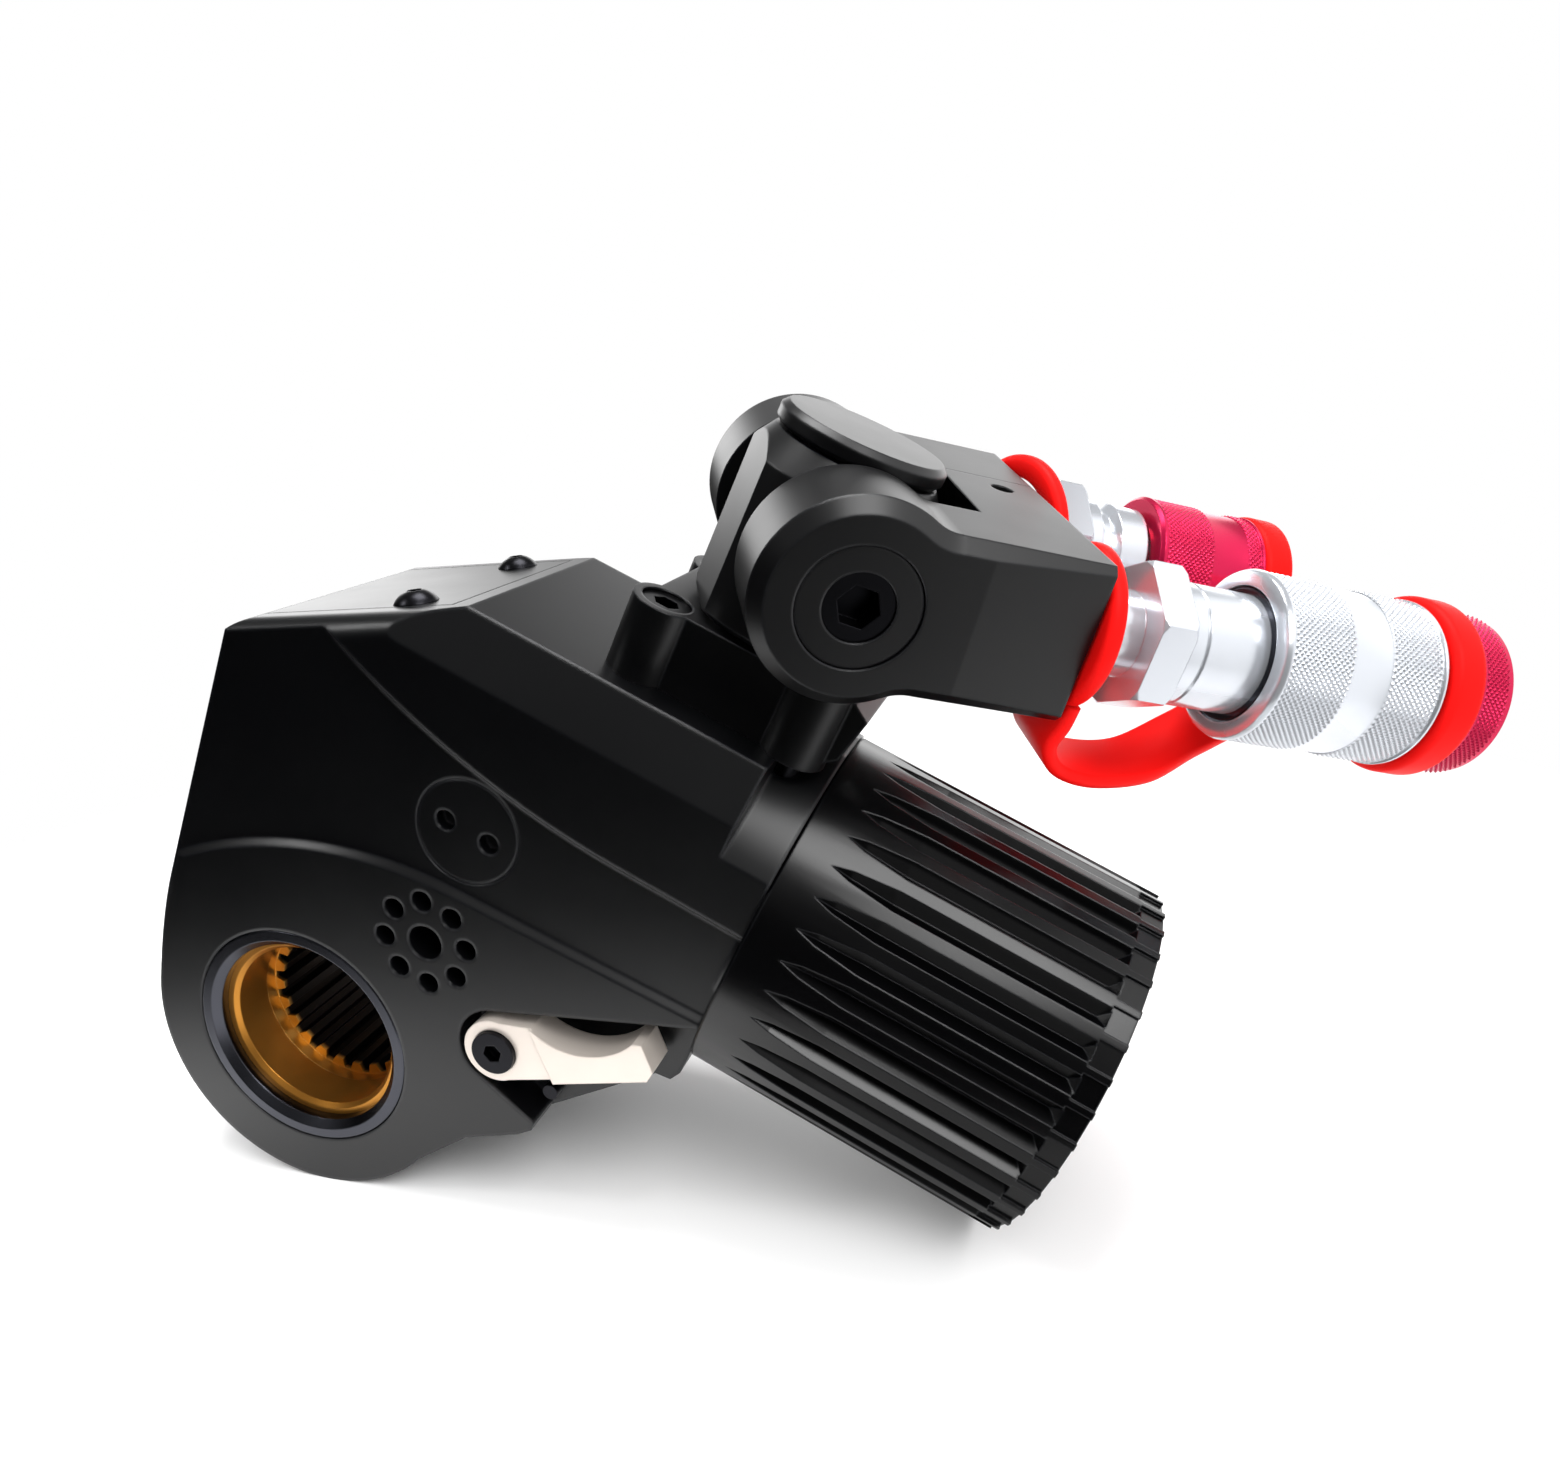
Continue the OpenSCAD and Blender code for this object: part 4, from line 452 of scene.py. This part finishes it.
def band(mesh, stops, place):
    """Flat rubber band with round edges, drawn out along its stops from one section."""
    stations = list(route(stops))
    spots = [Vector((out * math.cos(math.radians(turn)), out * math.sin(math.radians(turn)), along))
             for along, out, turn, _ in stations]
    sections = []
    for i, (_, _, turn, width) in enumerate(stations):
        ahead = (spots[min(i + 1, len(spots) - 1)] - spots[max(i - 1, 0)]).normalized()
        level = Vector((-math.sin(math.radians(turn)), math.cos(math.radians(turn)), 0))
        across = (level - ahead * level.dot(ahead)).normalized()
        axes = Matrix((across * width / 2, across.cross(ahead) * STRAP_T / 2, ahead)).transposed()
        sections.append(place @ Matrix.Scale(MM, 4) @ Matrix.Translation(spots[i]) @ axes.to_4x4())
    round_share = STRAP_T / stops[0][3]
    loop = bmesh.ops.create_circle(mesh, segments=SECTION_SIDES, radius=1.0)["verts"]
    bmesh.ops.rotate(mesh, matrix=Matrix.Rotation(math.pi / SECTION_SIDES, 3, "Z"), verts=loop)
    bmesh.ops.scale(mesh, vec=(round_share, 1, 1), verts=loop)
    for side in (-1, 1):
        half = [v for v in loop if v.co.x * side > 0 and abs(v.co.x) <= round_share]
        bmesh.ops.translate(mesh, vec=(side * (1 - round_share), 0, 0), verts=half)
    bmesh.ops.transform(mesh, matrix=sections[0], verts=loop)
    first_end = list(dict.fromkeys(e for v in loop for e in v.link_edges))
    open_end = first_end
    for here, there in zip(sections, sections[1:]):
        drawn = bmesh.ops.extrude_edge_only(mesh, edges=open_end)["geom"]
        corners = [g for g in drawn if isinstance(g, bmesh.types.BMVert)]
        bmesh.ops.transform(mesh, matrix=there @ here.inverted(), verts=corners)
        open_end = [g for g in drawn if isinstance(g, bmesh.types.BMEdge)]
    bmesh.ops.edgeloop_fill(mesh, edges=first_end)
    bmesh.ops.edgeloop_fill(mesh, edges=open_end)


def soft_ring(mesh, r_in, r_out, low, high, place):
    """Moulded rubber ring: flat inside with a small chamfer, well rounded outside."""
    soft = min(RING_ROUND, (high - low) / 2.2)
    quarter = [math.radians(turn) for turn in range(0, 91, 18)]
    outline = [(r_in, low + RING_CHAMFER), (r_in + RING_CHAMFER, low)]
    outline += [(r_out - soft + soft * math.sin(a), low + soft - soft * math.cos(a)) for a in quarter]
    outline += [(r_out - soft + soft * math.cos(a), high - soft + soft * math.sin(a)) for a in quarter]
    outline += [(r_in + RING_CHAMFER, high), (r_in, high - RING_CHAMFER)]
    lathe(mesh, outline, place)


def strap(name, node, stops, rings, place):
    mesh = bmesh.new()
    for sizes, ring_place in rings:
        soft_ring(mesh, *sizes, ring_place)
    band(mesh, stops, place)
    soften(mesh, SOFT_CREASE)
    return shown(name, mesh, "red_rubber", None, node)


def straps():
    rings = [(PLUG_YOKE_RING, COUPLER), (PLUG_RING, COUPLER)]
    made = strap("plug_tether", "plug_strap", PLUG_STOPS, rings, COUPLER)
    low, high = [COUPLER @ Vector((0, 0, along * MM)) for along in PLUG_BEND]
    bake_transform(made)
    lean = Matrix.Translation((0, 0, CAP_YOKE_RING_Z * MM)) @ Matrix.Rotation(CAP_YOKE_RING_LEAN, 4, "X")
    rings = [(CAP_YOKE_RING, NIPPLE @ lean), (CAP_RING, NIPPLE)]
    made = strap("cap_tether", "cap_strap", CAP_STOPS, rings, NIPPLE)
    low, high = [NIPPLE @ Vector((0, 0, along * MM)) for along in CAP_BEND]
    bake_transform(made)


WIRE_SIDES, TURN_STEPS = 10, 24


def coil(node, body, place, radius, wire, low, high, turns):
    """Coil of round wire in the room of a CAD spring, wound up the Z axis of a place."""
    mesh = bmesh.new()
    loop = bmesh.ops.create_circle(mesh, segments=WIRE_SIDES, radius=wire / 2 * MM)["verts"]
    bmesh.ops.rotate(mesh, matrix=Matrix.Rotation(math.pi / 2, 3, "X"), verts=loop)
    bmesh.ops.translate(mesh, vec=(radius * MM, 0, (low + wire / 2) * MM), verts=loop)
    bmesh.ops.transform(mesh, matrix=place, verts=loop)
    axis = place.to_3x3() @ UP
    steps = turns * TURN_STEPS
    bmesh.ops.spin(mesh, geom=mesh.verts[:] + mesh.edges[:], cent=place.translation, axis=axis, steps=steps,
                   angle=2 * math.pi * turns, dvec=axis * (high - low - wire) * MM / steps)
    bmesh.ops.holes_fill(mesh, edges=mesh.edges[:], sides=0)
    soften(mesh, SOFT_CREASE)
    return shown(node + "_coil", mesh, "spring_steel", body, node)


# The pawl's spring stands on the back of the pawl, in the tool's frame
PAWL_SPOT, PAWL_LEAN = (-11.66 * MM, 0, 30.0 * MM), math.radians(-41.3)
PAWL_SEAT = TOOL @ Matrix.Translation(PAWL_SPOT) @ Matrix.Rotation(PAWL_LEAN, 4, "Y")
# Ends of the two springs that the joints press together, and the share of its length that each keeps
PAWL_COIL, PAWL_KEEP = (0.0, 4.5), 0.6
SLEEVE_COIL, SLEEVE_KEEP = (36.0, 51.4), 0.72


def springs():
    coil("coupler_poppet_spring", "yoke", COUPLER, radius=3.1, wire=0.8, low=11.0, high=32.0, turns=8)
    coil("nipple_poppet_spring", "yoke", NIPPLE, radius=2.7, wire=0.7, low=26.0, high=38.0, turns=5)
    low, high = PAWL_COIL
    made = coil("pawl_spring", "drive_plates", PAWL_SEAT, radius=2.2, wire=0.8, low=low, high=high, turns=3)
    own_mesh(made)
    low, high = SLEEVE_COIL
    made = coil("sleeve_spring", "yoke", COUPLER, radius=9.65, wire=0.8, low=low, high=high, turns=6)
    COUPLER.to_3x3() @ UP
    COUPLER @ (UP * low * MM)
    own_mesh(made)


sleeve()
plug()
cap()
straps()
springs()

# Camera at the photograph's viewpoint: width and focal length in pixels, place, and axes right, up and back
PHOTO_W, FOCAL_PX, SENSOR_W = 1560.0, 1129.55, 36.0
CAMERA_SPOT = (0.15279, -0.1823, 0.11674)
CAMERA_AXES = ((0.9543, 0.291, -0.0668), (-0.0268, 0.307, 0.9508), (0.297, -0.906, 0.3008))


def photo_camera():
    camera = bpy.data.objects.new("camera", bpy.data.cameras.new("camera"))
    bpy.context.scene.collection.objects.link(camera)
    camera.data.sensor_fit = "HORIZONTAL"
    camera.data.sensor_width = SENSOR_W
    camera.data.lens = SENSOR_W * FOCAL_PX / PHOTO_W
    camera.data.clip_start = 0.005
    camera.matrix_world = Matrix.Translation(CAMERA_SPOT) @ Matrix(CAMERA_AXES).transposed().to_4x4()
    bpy.context.scene.camera = camera


# Floor: its height, half its width and its front edge, and the round patch that shows before it fades
FLOOR_Z, FLOOR_HALF, FLOOR_FRONT = -NOSE_R * MM, 0.6, -0.11
PATCH_SPOT, PATCH_R, PATCH_FADE = (0.06, 0.03, FLOOR_Z), 0.16, 0.16


def white_floor():
    """White floor that keeps the tool's shadow and fades into the white behind it."""
    mesh = bmesh.new()
    bmesh.ops.create_grid(mesh, x_segments=1, y_segments=1, size=FLOOR_HALF)
    bmesh.ops.bisect_plane(mesh, geom=mesh.verts[:] + mesh.edges[:] + mesh.faces[:],
                           plane_co=(0, FLOOR_FRONT, 0), plane_no=(0, -1, 0), clear_outer=True)
    bmesh.ops.translate(mesh, vec=(0, 0, FLOOR_Z), verts=mesh.verts)
    data = bpy.data.meshes.new("floor")
    mesh.to_mesh(data)
    mesh.free()
    floor = bpy.data.objects.new("floor", data)
    bpy.context.scene.collection.objects.link(floor)
    white = Finish("floor_white")
    away = white.node("VectorMath", {"operation": "DISTANCE"}, {0: white.place, 1: PATCH_SPOT}, "Value")
    fade = ((away - PATCH_R) / PATCH_FADE).share()
    # In mirror-like surfaces the white table ends a little in front of the tool, and is dimmer to its right
    x, y = [white.along(white.place, axis) for axis in "XY"]
    table = white.ramp(y + x * 0.3, -0.14, -0.06) * white.ramp(x, 0.05, 0.12, start=1.0, end=0.4)
    mirrored = white.node("LightPath", {}, {}, "Is Glossy Ray")
    seen = (1 - fade) * (1 - mirrored * (1 - table))
    data.materials.append(white.surface(Base_Color=(0.97, 0.97, 0.97, 1), Roughness=0.9,
                                        Specular_IOR_Level=0.0, Alpha=seen))


def white_room():
    """World that is white to the camera and to diffuse rays, and a room of walls to mirror-like ones."""
    world = bpy.data.worlds.new("studio")
    bpy.context.scene.world = world
    world.use_nodes = True
    sky = Graph(world.node_tree)
    camera, diffuse, through = [sky.node("LightPath", {}, {}, f"Is {kind} Ray")
                                for kind in ("Camera", "Diffuse", "Transmission")]
    where = sky.node("TexCoord", {}, {}, "Generated")
    x, y, z = [sky.along(where, axis) for axis in "XYZ"]
    # A low white wall behind and to the right, brighter straight behind and in a strip on the left
    wall = sky.ramp(x * 0.6 + y * 0.8, -0.32, 0.2, start=0.0, end=1.1)
    low = sky.ramp(z - sky.ramp(x, 0.3, 0.7, start=0.0, end=0.4), 0.33, 0.48, start=1.0, end=0.04)
    strip = sky.ramp(x, -0.64, -0.46, start=2.7, end=0.0) * sky.ramp(x, -0.78, -0.68)
    strip = strip * sky.ramp(z, 0.02, 0.08)
    behind = sky.ramp(y, 0.86, 0.95, start=0.0, end=1.1)
    # Dark low down on the left, and a dim ceiling
    under = sky.ramp(x, -0.3, 0.2, start=1.0, end=0.0) * sky.ramp(z, 0.0, 0.13, start=0.95, end=0.0)
    ceiling = sky.ramp(z, 0.25, 0.6, start=0.0, end=0.16)
    room = wall * low * (1 + strip + behind) * (1 - under) + ceiling
    plain = (camera + diffuse + through).share()
    level = plain + (1 - plain) * room
    background = sky.tree.nodes["Background"]
    sky.tree.links.new(level.socket, background.inputs["Strength"])
    background.inputs["Color"].default_value = (1, 1, 1, 1)


# Lamps: name, place, point that it faces, width and power in watts
LAMPS = [("overhead", (0.1, 0.1, 0.7), (0.08, 0, 0.03), 0.35, 4.0),
         ("edge_strip", (-0.45, -0.28, 0.62), (0.05, -0.02, 0.03), 0.15, 0.9),
         ("front_key", (0.53, -0.38, 0.68), (0.1, 0, 0.05), 0.42, 4.2)]


def lamp(name, spot, aim, size, power):
    made = bpy.data.objects.new(name, bpy.data.lights.new(name, "AREA"))
    made.data.size = size
    made.data.energy = power
    made.location = spot
    made.rotation_euler = (Vector(aim) - Vector(spot)).to_track_quat("-Z", "Y").to_euler()
    bpy.context.scene.collection.objects.link(made)


photo_camera()
white_floor()
white_room()
for spec in LAMPS:
    lamp(*spec)
bpy.context.scene.view_settings.view_transform = "Standard"
